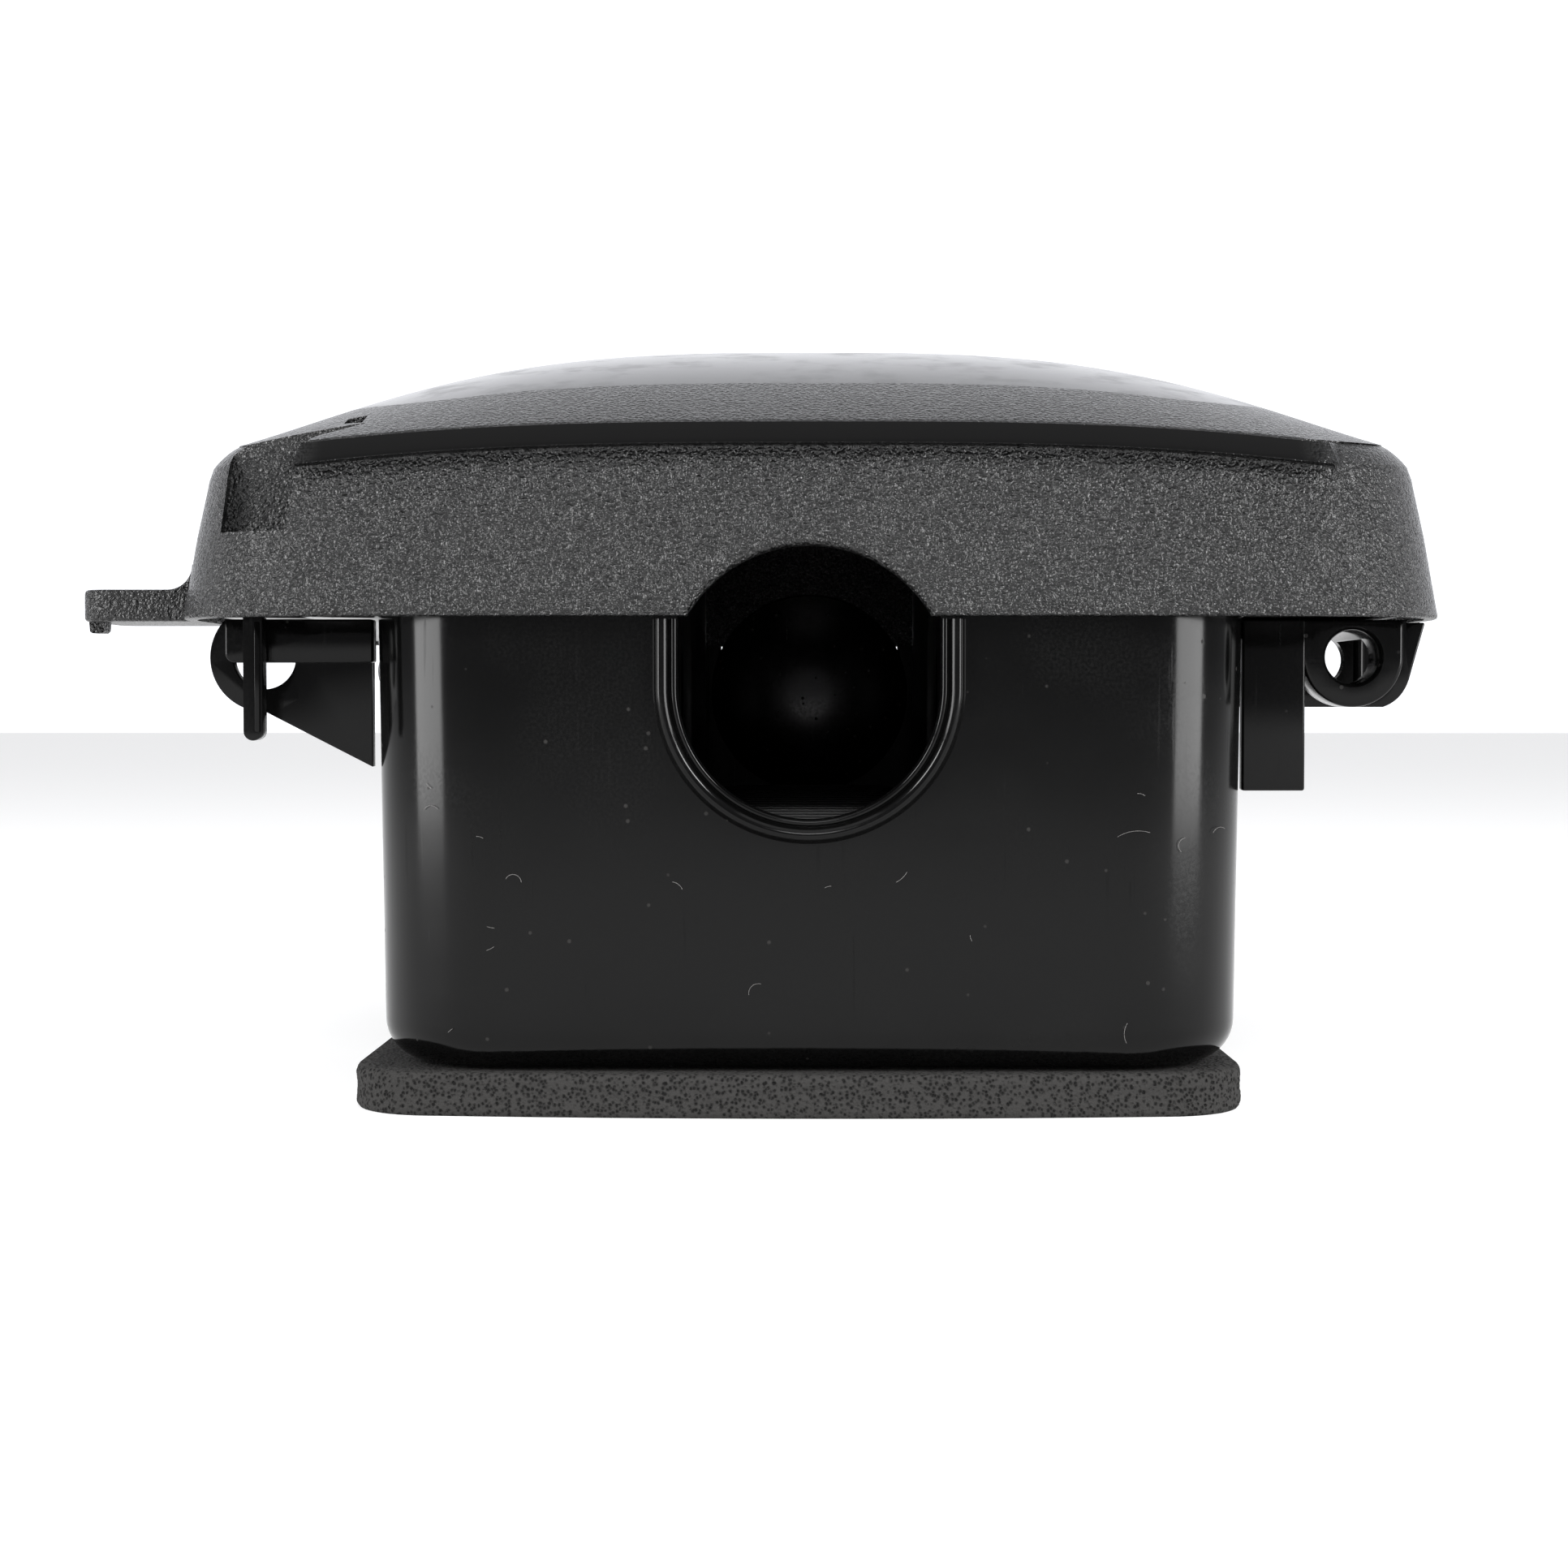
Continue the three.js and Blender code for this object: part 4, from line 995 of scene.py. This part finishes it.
def arch_cut():
    """The lid's arch over the front mouth, flared into a rounded edge on the outside."""
    flare = 1.3
    sunk = 0.9
    slope = (LID_HALF_Y - WAIST[1]) / (WAIST[2] - LID_RIM)
    depths = [(-8.0, flare), (-sunk, flare)]
    for step in range(9):
        angle = step / 8 * math.pi / 2
        depths.append((flare * (1 - math.cos(angle)) - sunk, flare * (1 - math.sin(angle))))
    depths.append((14.0, 0.0))
    rings = []
    sides = 120
    for depth, grow in depths:
        ring = []
        for step in range(sides):
            angle = -2 * math.pi * step / sides
            z = LID_MOUTH_Z + (LID_MOUTH_R + grow) * math.sin(angle)
            face = -LID_HALF_Y + slope * (z - LID_RIM)
            ring.append(((LID_MOUTH_R + grow) * math.cos(angle), face + depth + sunk, z))
        rings.append(ring)
    return loft(rings)


def lift_tab():
    """The flat tab with its corners and edges rounded off."""
    root = -LID_HALF_X + 1.4
    corner = 4.0
    outline = [(root, TAB_FRONT), (root, TAB_BACK)]
    outline += arc(TAB_TIP + corner, TAB_BACK - corner, corner, 90, 180, 10)
    outline += arc(TAB_TIP + corner, TAB_FRONT + corner, corner, 180, 270, 10)
    return worked([prism(outline, LID_RIM, LID_RIM + TAB_THICK, "z")], edge=0.7, segments=4)


def tab_nub():
    """The short stub under the tab's tip."""
    low = 78.6
    top = LID_RIM + 0.8
    outline = [(-122.9, top), (-122.7, low + 0.3), (-122.3, low)]
    outline += [(-120.6, low), (-120.2, low + 0.4), (-120, top)]
    return prism(outline, TAB_FRONT + 4, TAB_FRONT + 8, "y")


def tab_cove():
    """The concave fillet between the tab and the lid's wall."""
    root = -LID_HALF_X + 2.2
    top = LID_RIM + TAB_THICK
    radius = 4.2
    outline = [(root, top - 0.6), (root - 2.2 - radius, top - 0.6), (root - 2.2 - radius, top)]
    outline += arc(-LID_HALF_X + 0.6 - radius, top + radius, radius, -90, 0, 12)
    outline.append((root, top + radius))
    return prism(outline, TAB_FRONT + 0.7, TAB_BACK - 0.7, "y")


def knuckle(y0, y1, inner_x):
    """A hinge knuckle and the root that ties it to a wall at inner_x."""
    barrel = worked([rod(HINGE_X, HINGE_Z, HINGE_R, y0, y1, 40)], edge=0.5, segments=3)
    root = box_body(inner_x, HINGE_X, y0 + 0.4, y1 - 0.4, HINGE_Z - 3, HINGE_Z + 3.3)
    return worked([barrel, root])


def hinge_bore():
    return rod(HINGE_X, HINGE_Z, HINGE_BORE, -50, 50, 24)


def lid_knuckles():
    """A knuckle on either side of each of the base's two."""
    out = []
    for side in (-1, 1):
        for end in (-1, 1):
            middle = side * HINGE_OFFSET + end * (KNUCKLE + KNUCKLE_SPACE)
            out.append(knuckle(middle - KNUCKLE / 2, middle + KNUCKLE / 2, LID_HALF_X - 2))
    return out


def hinge_windows():
    """Notches in the lid's wall that clear the base's knuckles."""
    out = []
    for side in (-1, 1):
        y0 = side * HINGE_OFFSET - KNUCKLE / 2 - KNUCKLE_SPACE
        y1 = side * HINGE_OFFSET + KNUCKLE / 2 + KNUCKLE_SPACE
        out.append(box_body(LID_HALF_X - 10, LID_HALF_X + 4, y0, y1, LID_RIM - 1, HINGE_Z + HINGE_R + 1))
    return out


def card_rails():
    """Two rails under the roof that hold the record card by its edges."""
    out = []
    for side in (-1, 1):
        x0, x1 = sorted((side * 40.5, side * 44.0))
        rail = box_body(x0, x1, -26, 26, 124.5, 131.9)
        slot = box_body(-42.5, 42.5, -28, 28, 126.6, 127.9)
        out.append(worked([rail], [slot]))
    return out


def lid_shell():
    """A shell with pocket housings, strikes and rails inside, and a tab and knuckles outside."""
    outside = lid_outside()
    envelope = loft(outside)
    shell = loft([*reversed(lid_inside()), *outside])
    housings = both_ends(lambda: pocket_body(POCKET_SKIN))
    strikes = both_ends(lambda: box_body(-101, -96.0, -97.2, -92.8, 84.0, 86.6))
    added = [loose_object(*body) for body in housings + strikes] + card_rails()
    for body in added:
        boolean(body, envelope, "INTERSECT")
    added += [lift_tab(), tab_nub(), tab_cove(), *lid_knuckles()]
    key_slot = box_body(-91.5, -86, -102.6, -99, 90, POCKET_FLOOR + 1)
    tail_notch = box_body(-77.2, -73.9, -95, -86.5, 113, ABOVE_LID)
    cuts = both_ends(lambda: pocket_body(0.0))
    cuts += both_ends(lambda: key_slot)
    cuts += both_ends(lambda: tail_notch)
    cuts += both_ends(arch_cut)
    cuts += hinge_windows()
    cuts.append(hinge_bore())
    piece = moulding("lid_dome", [shell, *added], cuts, GRAIN, "lid", sharp_deg=32)
    stands_for("lid_shell")


lid_shell()

# ---- side brackets


def eye_bracket():
    """Ring plate with a gusset down to the box, and the block in front of it."""
    x, z, radius, hole = -91.3, 74.3, 9.1, 5.3
    front, back, root_x, top = -88.0, -85.0, -73.2, BRACKET_TOP
    ring = rod(x, z, radius, front, back, 72)
    gusset = prism([(x, z - radius + 0.1), (root_x, 56.0), (root_x, top), (x, top)], front, back, "y")
    flat = box_body(x - 20, root_x + 1, front - 1, back + 1, top, top + 12)
    eye = worked([ring, gusset], [flat, rod(x, z, hole, front - 1, back + 1, 64)], 0.4, 3)
    left, right, bottom, corner = -97.1, -72.5, 73.4, 1.6
    outline = [(left, top)] + arc(left + corner, bottom + corner, corner, 180, 270, 10)
    outline += [(right, bottom), (right, top)]
    block = worked([prism(outline, -91.7, front + 0.5, "y")], edge=0.4, segments=3)
    return [eye, block]


# The rounded mouth of the lug's bore: radius and place along Y.
BORE_MOUTH = [(5.4, -88.0), (5.1, -87.0), (4.85, -86.75), (4.62, -86.4), (4.5, -85.8), (4.4, -84.0)]


def lug_bracket():
    """A web, a short barrel on a slanting cheek, and a second plate with the same bore behind."""
    x, z, radius, top = 91.0, 74.4, 8.4, BRACKET_TOP
    front, back = -87.0, -78.0
    foot = z - radius
    web = worked([box_body(72.5, 83.0, front, front + 3, 52.0, top)], edge=0.4, segments=3)
    roof_plate = box_body(72.5, 100.0, front + 1, -54.6, top - 3, top)
    outline = [(x - radius, top)] + arc(x, z, radius, 180, 360, 64) + [(x + radius, top)]
    barrel = worked([prism(outline, front, back, "y")], edge=0.7, segments=4)
    cheek_outline = [(x, 80.2), (x, foot), (96.6, foot)]
    cheek_outline += bent((96.6, foot), (100.2, foot + 1.2), (101.2, 71.5), 10)
    cheek_outline.append((103.6, 80.2))
    cheek = worked([prism(cheek_outline, -84.5, -81.5, "y")], edge=0.4, segments=3)
    left, right, corner = 83.6, 101.0, 3.0
    rear_outline = [(left, top), (left, foot)]
    rear_outline += arc(right - corner, foot + corner, corner, -90, 0, 8)
    rear_outline.append((right, top))
    rear = worked([prism(rear_outline, -57.0, -54.0, "y")], edge=0.4, segments=3)
    rib = prism(arc(98.1, -57.2, 0.9, 0, 350, 20), foot + 0.8, top - 1, "z")
    bore = worked([rod(x, z, 4.5, front - 1, -53, 72)])
    turn = [-2 * math.pi * k / 72 for k in range(72)]
    flare = loft([[(x + r * math.cos(a), y, z + r * math.sin(a)) for a in turn] for r, y in BORE_MOUTH])
    return [web, roof_plate, barrel, cheek, rear, rib], [bore, flare]


def mirrored(piece, name, body):
    """A copy of a front piece at the rear."""
    mesh = piece.data.copy()
    mesh.transform(Matrix.Scale(-1, 4, Vector((0, 1, 0))))
    mesh.flip_normals()
    material = piece.data.materials[0]
    return place(name, mesh, material, body, 40)


def pair(name, node, bodies, cuts, material, slot, on=("base", "base")):
    """The front piece and its mirror image at the rear, which stand for two CAD nodes."""
    front = moulding(name + "_front", bodies, cuts, material, on[0], sharp_deg=38)
    rear = mirrored(front, name + "_rear", on[1])
    for piece, end in ((front, "front"), (rear, "rear")):
        stands_for(f"{node}_{end}")


pair("eye_plate", "eye_bracket", eye_bracket(), [], GLOSS, "gloss_black")
pair("lug_barrel", "lug_bracket", *lug_bracket(), GLOSS, "gloss_black")

# ---- latches


def latch_lever():
    """Flat lever with a hooked nose, a round tail, a boss at the pin and a rib down its face."""
    x, z, half = LATCH_X, LATCH_Z, 1.55
    front, back, top, tail, nose = -96.4, -92.6, 91.5, 60.5, -95.3
    outline = arc(x, tail + half, half, 180, 360, 14)
    outline += [(x + half, top), (x - half, top)]
    outline += [(nose, top - 1.5), (nose, top - 3), (x - half, top - 3)]
    lever = prism(outline, front, back, "y")
    boss = rod(x, z, 3.0, front, back, 40)
    bore = rod(x, z, LATCH_BORE, front - 1, back + 1, 24)
    body = worked([lever, boss], [bore], 0.4, 3)
    rib_low, rib_high = tail + 1.4, z - 4
    rib_outline = [(x + 0.35, rib_low), (x + 1.2, rib_low), (x + 1.2, rib_high), (x + 0.35, rib_high)]
    rib = prism(rib_outline, front - 0.5, front + 0.3, "y")
    return [body, worked([rib], edge=0.2, segments=2)]


def latch_pin():
    """Shouldered steel pin."""
    x, z = LATCH_X, LATCH_Z
    front, back = -96.7, -86.5
    shank = rod(x, z, 1.2, front - 0.2, back + 0.2, 32)
    heads = [
        worked([rod(x, z, 2.1, front - 0.9, front, 32)], edge=0.25),
        worked([rod(x, z, 2.1, back, back + 0.9, 32)], edge=0.25),
    ]
    return [*heads, shank]


def latch_spring():
    """Torsion spring: a leg up the ear, turns round the pin, a leg up the lever."""
    x, z, coil, turns, leg = LATCH_X, LATCH_Z, 2.5, 2.5, 4.0
    start, end = -89.95, -91.85
    points = []
    for step in range(7):
        points.append((x + coil, start, z + leg * (1 - step / 7)))
    steps = 84
    for step in range(steps + 1):
        t = step / steps
        angle = t * turns * 2 * math.pi
        points.append((x + coil * math.cos(angle), start + (end - start) * t, z + coil * math.sin(angle)))
    for step in range(1, 8):
        points.append((x - coil, end, z + leg * step / 7))
    return tube(points, 0.4, 10)


levers = ("latch_front", "latch_rear")
pair("latch_arm", "latch_lever", latch_lever(), [], GLOSS, "gloss_black", levers)
pair("latch_rivet", "latch_pin", latch_pin(), [], STEEL, "steel")
pair("latch_coil", "latch_spring", [latch_spring()], [], STEEL, "steel")

# ---- flanges


def flange_plate(side):
    """Bodies of a ledge beside the box, with a lip along its outer edge and ribs across it."""
    inner, outer, half_y, corner = 68.5, 99.0, 104.0, 20.0
    outline = [(inner, -half_y)]
    outline += arc(outer - corner, -half_y + corner, corner, -90, 0, 16)
    outline += arc(outer - corner, half_y - corner, corner, 0, 90, 16)
    outline.append((inner, half_y))
    lip = box_body(outer - 2, outer, -80, 80, FLANGE_Z + 1, FLANGE_Z + FLANGE_THICK + 4)
    ribs = [
        box_body(74, outer - 1, y - 0.9, y + 0.9, FLANGE_Z + 1, FLANGE_Z + FLANGE_THICK + 2.6)
        for y in (-66, -12, 12, 66)
    ]
    bodies = [prism(outline, FLANGE_Z, FLANGE_Z + FLANGE_THICK, "z"), lip, *ribs]
    return [flipped(body, -1, 1) for body in bodies] if side < 0 else bodies


def flange_right():
    """The ledge on the hinge side, with a knuckle at each hinge."""
    bodies = [worked(flange_plate(1), edge=0.5, segments=2)]
    for side in (-1, 1):
        y0 = side * HINGE_OFFSET - KNUCKLE / 2
        bodies.append(knuckle(y0, y0 + KNUCKLE, 97.0))
    piece = moulding("hinge_ledge", bodies, [hinge_bore()], GLOSS, "base")
    stands_for("flange_right")


def flange_left():
    """The ledge on the latch side, slotted for the levers, with an ear behind each."""
    slots = both_ends(lambda: box_body(-100, -84.5, -105, -89.4, FLANGE_Z - 1, FLANGE_Z + 8))
    ears = both_ends(lambda: box_body(-95.7, -87.3, -89.2, -86.8, FLANGE_Z + 1, 88.0))
    bores = both_ends(lambda: rod(LATCH_X, LATCH_Z, LATCH_BORE, -90.2, -85.8, 24))
    bores += both_ends(lambda: rod(LATCH_X, LATCH_Z, 2.4, -86.8, -85.3, 24))
    ledge = worked(flange_plate(-1), slots, 0.5, 2)
    rounded_ears = [worked([ear], edge=0.6, segments=3) for ear in ears]
    piece = moulding("latch_ledge", [ledge, *rounded_ears], bores, GLOSS, "base")
    stands_for("flange_left")


flange_right()
flange_left()

# ---- inside the box


def rear_blank():
    """The panel that closes the rear mouth: a plate inside the wall and a plug in the mouth."""
    inside = BOX_HALF_Y - BOX_WALL - 0.3
    flange, plug_r = 23.4, 20.8
    upper = 92.8 - flange
    stadium = arc(0, MOUTH_Z, flange, 180, 360, 64) + arc(0, upper, flange, 0, 180, 64)
    plate = worked([prism(stadium, inside - 1.9, inside, "y")], edge=0.5, segments=3)
    plug = [(-plug_r, BOX_TOP)] + arc(0, MOUTH_Z, plug_r, 180, 360, 64) + [(plug_r, BOX_TOP)]
    block = prism(plug, inside - 0.5, BOX_HALF_Y - 0.5, "y")
    # The blank is dustier and lighter than the box: real dust, and painted light from the mouth.
    piece = moulding("mouth_blank", [plate, block], [], DUST_AND_PAINTED_LIGHT, "base", sharp_deg=38)
    stands_for("rear_entry_blank")


def ballast():
    """A cast plate with four lifting holes."""
    outline = ring_outline(54, 80, 8, 10, 2, 2)
    low, high = box_mm("ballast_plate")
    holes = [rod_up(x, y, 5, low.z - 1, high.z + 1) for x in (-38, 38) for y in (-62, 62)]
    slab = prism(outline, low.z, high.z, "z")
    piece = moulding("ballast_slab", [slab], holes, IRON, "base", edge=1.2)
    stands_for("ballast_plate")


def tray():
    """Runway tray with drain holes, treads across the lane and a socket for each bait rod."""
    low, high = TRAY_LOW, TRAY_HIGH
    floor = prism(ring_outline(68, 101.4, 16, 12, 2, 2), low, high, "z")
    treads = [
        worked([box_body(-17, 17, y - 0.8, y + 0.8, high - 0.4, high + 0.7)], edge=0.35)
        for y in range(-90, 91, 12)
    ]
    places = ROD_PLACES.values()
    sockets = [worked([rod_up(x, y, 4.4, high - 1, 50.3)], edge=0.5, segments=3) for x, y in places]
    holes = [rod_up(x, y, 2.3, 45.7, 51.5) for x, y in places]
    drains = [rod_up(x, y, 2.5, 44, 48, 24) for x in (-60, 60) for y in (-80, 0, 80)]
    bodies = [worked([floor], drains, 0.4), *treads, *sockets]
    piece = moulding("lane_tray", bodies, holes, TRAY, "base")
    stands_for("runway_tray")


def baffle(side, name, node):
    """A wall of the middle lane with a round-topped doorway and stiffening pads."""
    foot, top, half_y = 47.3, 100.0, 98.0
    door_half, door_top = 24.0, 90.0
    spring = door_top - door_half
    outline = [(-half_y, foot), (-door_half, foot)]
    outline += arc(0, spring, door_half, 180, 0, 48)
    outline += [(door_half, foot), (half_y, foot), (half_y, top), (-half_y, top)]
    outside = side * 26.5
    wall = worked([prism(outline, *sorted((side * 24.5, outside)), "x")], edge=0.4, segments=2)
    p0, p1 = sorted((outside - side * 0.4, outside + side * 1.4))
    pads = []
    for y in (-84, -56, 56, 84):
        pads.append(worked([box_body(p0, p1, y - 1, y + 1, foot + 1, top - 2)], edge=0.4))
    piece = moulding(name, [wall, *pads], [], TRAY, "base")
    stands_for(node)


def bait_rods():
    """Steel rods with rounded ends."""
    for place_name, (x, y) in ROD_PLACES.items():
        profile = [(1.6, 46.0), (2.0, 46.4), (2.0, 100.8), (1.7, 101.5), (1.0, 102.0)]
        turn = [2 * math.pi * k / 32 for k in range(32)]
        rings = [[(x + r * math.cos(a), y + r * math.sin(a), z) for a in turn] for r, z in profile]
        piece = make_mesh("rod_" + place_name, *loft(rings), STEEL, "base", 30)
        stands_for("bait_rod_" + place_name)


def bait_bar(x, y, z, seed):
    """A pressed bait block: grooved sides, worn edges, a hole for the rod and crumbled faces."""
    half_x, half_y, height = 15.0, 13.0, 24.0
    outline = ring_outline(half_x, half_y, 2.5, 8, 30, 26)
    rings = []
    levels = 26
    for level in range(levels + 1):
        t = level / levels
        soft = 1.1 * abs(2 * t - 1) ** 10
        ring = []
        for px, py in outline:
            groove = 0.0
            if abs(px) < half_x - 3:
                groove = 0.55 * (0.5 + 0.5 * math.cos(px * 2 * math.pi / 7.5))
            here = Vector((px * 0.35 + seed, py * 0.35, t * 7))
            crumb = 0.35 * noise.noise(here) + 0.22 * noise.noise(here * 3.1)
            inset = soft + groove * (abs(py) / half_y) ** 10 + 0.3 - crumb
            scale = 1 - inset / math.hypot(px, py)
            ring.append((x + px * scale, y + py * scale, z + height * t))
        rings.append(ring)
    hole = rod_up(x, y, 3.0, z - 1, z + height + 1, 32)
    return loft(rings), hole


def bait_blocks():
    """Two blocks on each rod."""
    for number, (place_name, (x, y)) in enumerate(ROD_PLACES.items()):
        for level, z in (("lower", 50.6), ("upper", 75.2)):
            body, hole = bait_bar(x, y, z, number * 3.7 + z)
            piece = moulding(f"bait_{place_name}_{level}", [body], [hole], BAIT, "base", sharp_deg=50)
            stands_for(f"bait_block_{place_name}_{level}")


def record_card():
    """The blank card in the lid's rails."""
    low, high = box_mm("service_card")
    outline = ring_outline((high.x - low.x) / 2, (high.y - low.y) / 2, 2.0, 6, 20, 12)
    verts, faces = prism(outline, low.z, high.z, "z")
    piece = make_mesh("record_card", verts, faces, CARD, "lid", 30)
    stands_for("service_card")


def hinge_pins():
    """Two headed pins through the knuckles."""
    half = 15.9
    for end, side in (("front", -1), ("rear", 1)):
        low, high = side * HINGE_OFFSET - half, side * HINGE_OFFSET + half
        shank = rod(HINGE_X, HINGE_Z, 1.6, low - 0.2, high + 0.2, 32)
        heads = [
            worked([rod(HINGE_X, HINGE_Z, 2.8, y, y + 1, 32)], edge=0.35) for y in (low - 1, high)
        ]
        piece = moulding("hinge_rivet_" + end, [*heads, shank], [], STEEL, "base")
        stands_for("hinge_pin_" + end)


rear_blank()
ballast()
tray()
baffle(-1, "lane_wall_left", "baffle_left")
baffle(1, "lane_wall_right", "baffle_right")
bait_rods()
bait_blocks()
record_card()
hinge_pins()

# ---- lint


def box_front(x, z):
    """Depth of the box's front face, its rounded corners included."""
    over = abs(x) - (BOX_HALF_X - BOX_CORNER)
    if over <= 0:
        return -BOX_HALF_Y
    return -BOX_HALF_Y + BOX_CORNER - math.sqrt(max(0.0, BOX_CORNER**2 - over**2))


def lint_hairs(count=17):
    """Short curled hairs that cling to the front of the box."""
    chance = random.Random(SEED)
    verts = []
    faces = []
    made = 0
    while made < count:
        x = chance.uniform(-64, 66)
        z = chance.uniform(12, 70)
        if math.hypot(x, max(0.0, MOUTH_Z - z)) < 30:
            continue
        made += 1
        heading = chance.uniform(0, math.pi)
        curl = chance.uniform(-0.9, 0.9)
        length = 1.0 + 4.5 * chance.random() ** 2
        steps = 14
        points = []
        for step in range(steps + 1):
            points.append((x, box_front(x, z) - 0.05 - 0.12 * math.sin(math.pi * step / steps), z))
            x += math.cos(heading) * length / steps
            z += math.sin(heading) * length / steps
            heading += curl * length / steps
        hair_verts, hair_faces = tube(points, 0.035, 5)
        faces += [tuple(i + len(verts) for i in face) for face in hair_faces]
        verts += hair_verts
    piece = make_mesh("lint_hairs", verts, faces, LINT, "base", 60)


lint_hairs()

# ---- stage


FRONT_LEVEL = 0.3  # brightness of the studio in front of the object
BACK_LEVEL = 1.35  # and behind it
LIT_POINT = Vector((0, -0.08, 0.07))  # the lights aim here, in metres


def light_table():
    """Matt white sheet, lit a little from below."""
    look = Look("floor")
    tone = look.mix(look.noise(60, 2.0, 0.5), grey(0.5), grey(0.5 * 0.985))
    look.shader_set(Base_Color=tone, Roughness=0.9, Emission_Color=grey(1.0), Emission_Strength=0.55)
    return look.material


def make_floor():
    reach = 6000
    verts = [(-reach, -reach, 0), (reach, -reach, 0), (reach, reach, 0), (-reach, reach, 0)]
    floor = make_mesh("floor", verts, [(0, 1, 2, 3)], light_table(), None, 80)


def area_light(name, azimuth_deg, height_deg, distance_m, size_m, radiance):
    """A softbox that faces the object. Azimuth 0 is the front, and positive is towards +X."""
    data = bpy.data.lights.new(name, "AREA")
    data.shape = "RECTANGLE"
    data.size, data.size_y = size_m
    data.energy = radiance * math.pi * size_m[0] * size_m[1]
    azimuth = math.radians(azimuth_deg)
    height = math.radians(height_deg)
    level = math.cos(height)
    away = Vector((math.sin(azimuth) * level, -math.cos(azimuth) * level, math.sin(height)))
    light = bpy.data.objects.new(name, data)
    light.location = LIT_POINT + away * distance_m
    light.rotation_euler = away.to_track_quat("Z", "Y").to_euler()
    bpy.context.scene.collection.objects.link(light)


def make_world():
    """White studio all round, dimmer in front of the object."""
    world = bpy.data.worlds.new("studio")
    bpy.context.scene.world = world
    world.use_nodes = True
    tree = world.node_tree
    background = tree.nodes["Background"]
    direction = tree.nodes.new("ShaderNodeTexCoord").outputs["Generated"]
    parts = tree.nodes.new("ShaderNodeSeparateXYZ")
    tree.links.new(direction, parts.inputs[0])
    level = tree.nodes.new("ShaderNodeMapRange")
    level.interpolation_type = "SMOOTHSTEP"
    limits = {"From Min": 0.3, "From Max": 0.9, "To Min": FRONT_LEVEL, "To Max": BACK_LEVEL}
    for name, limit in limits.items():
        level.inputs[name].default_value = limit
    tree.links.new(parts.outputs["Y"], level.inputs["Value"])
    tree.links.new(level.outputs[0], background.inputs["Strength"])
    background.inputs["Color"].default_value = (0.98, 0.99, 1.03, 1.0)


make_floor()
make_world()
area_light("top", 0, 80, 1.3, (1.4, 1.4), 1.0)
area_light("over_camera", 0, 36, 1.2, (0.28, 0.26), 11.0)
area_light("left_key", -58, 30, 1.2, (0.28, 0.4), 26.0)
area_light("right_key", 58, 30, 1.2, (0.28, 0.4), 32.0)
area_light("left_box", -66, 3, 1.0, (0.5, 0.5), 13.0)
area_light("right_box", 64, 3, 1.0, (0.5, 0.5), 13.0)
bpy.context.scene.view_settings.view_transform = "Standard"
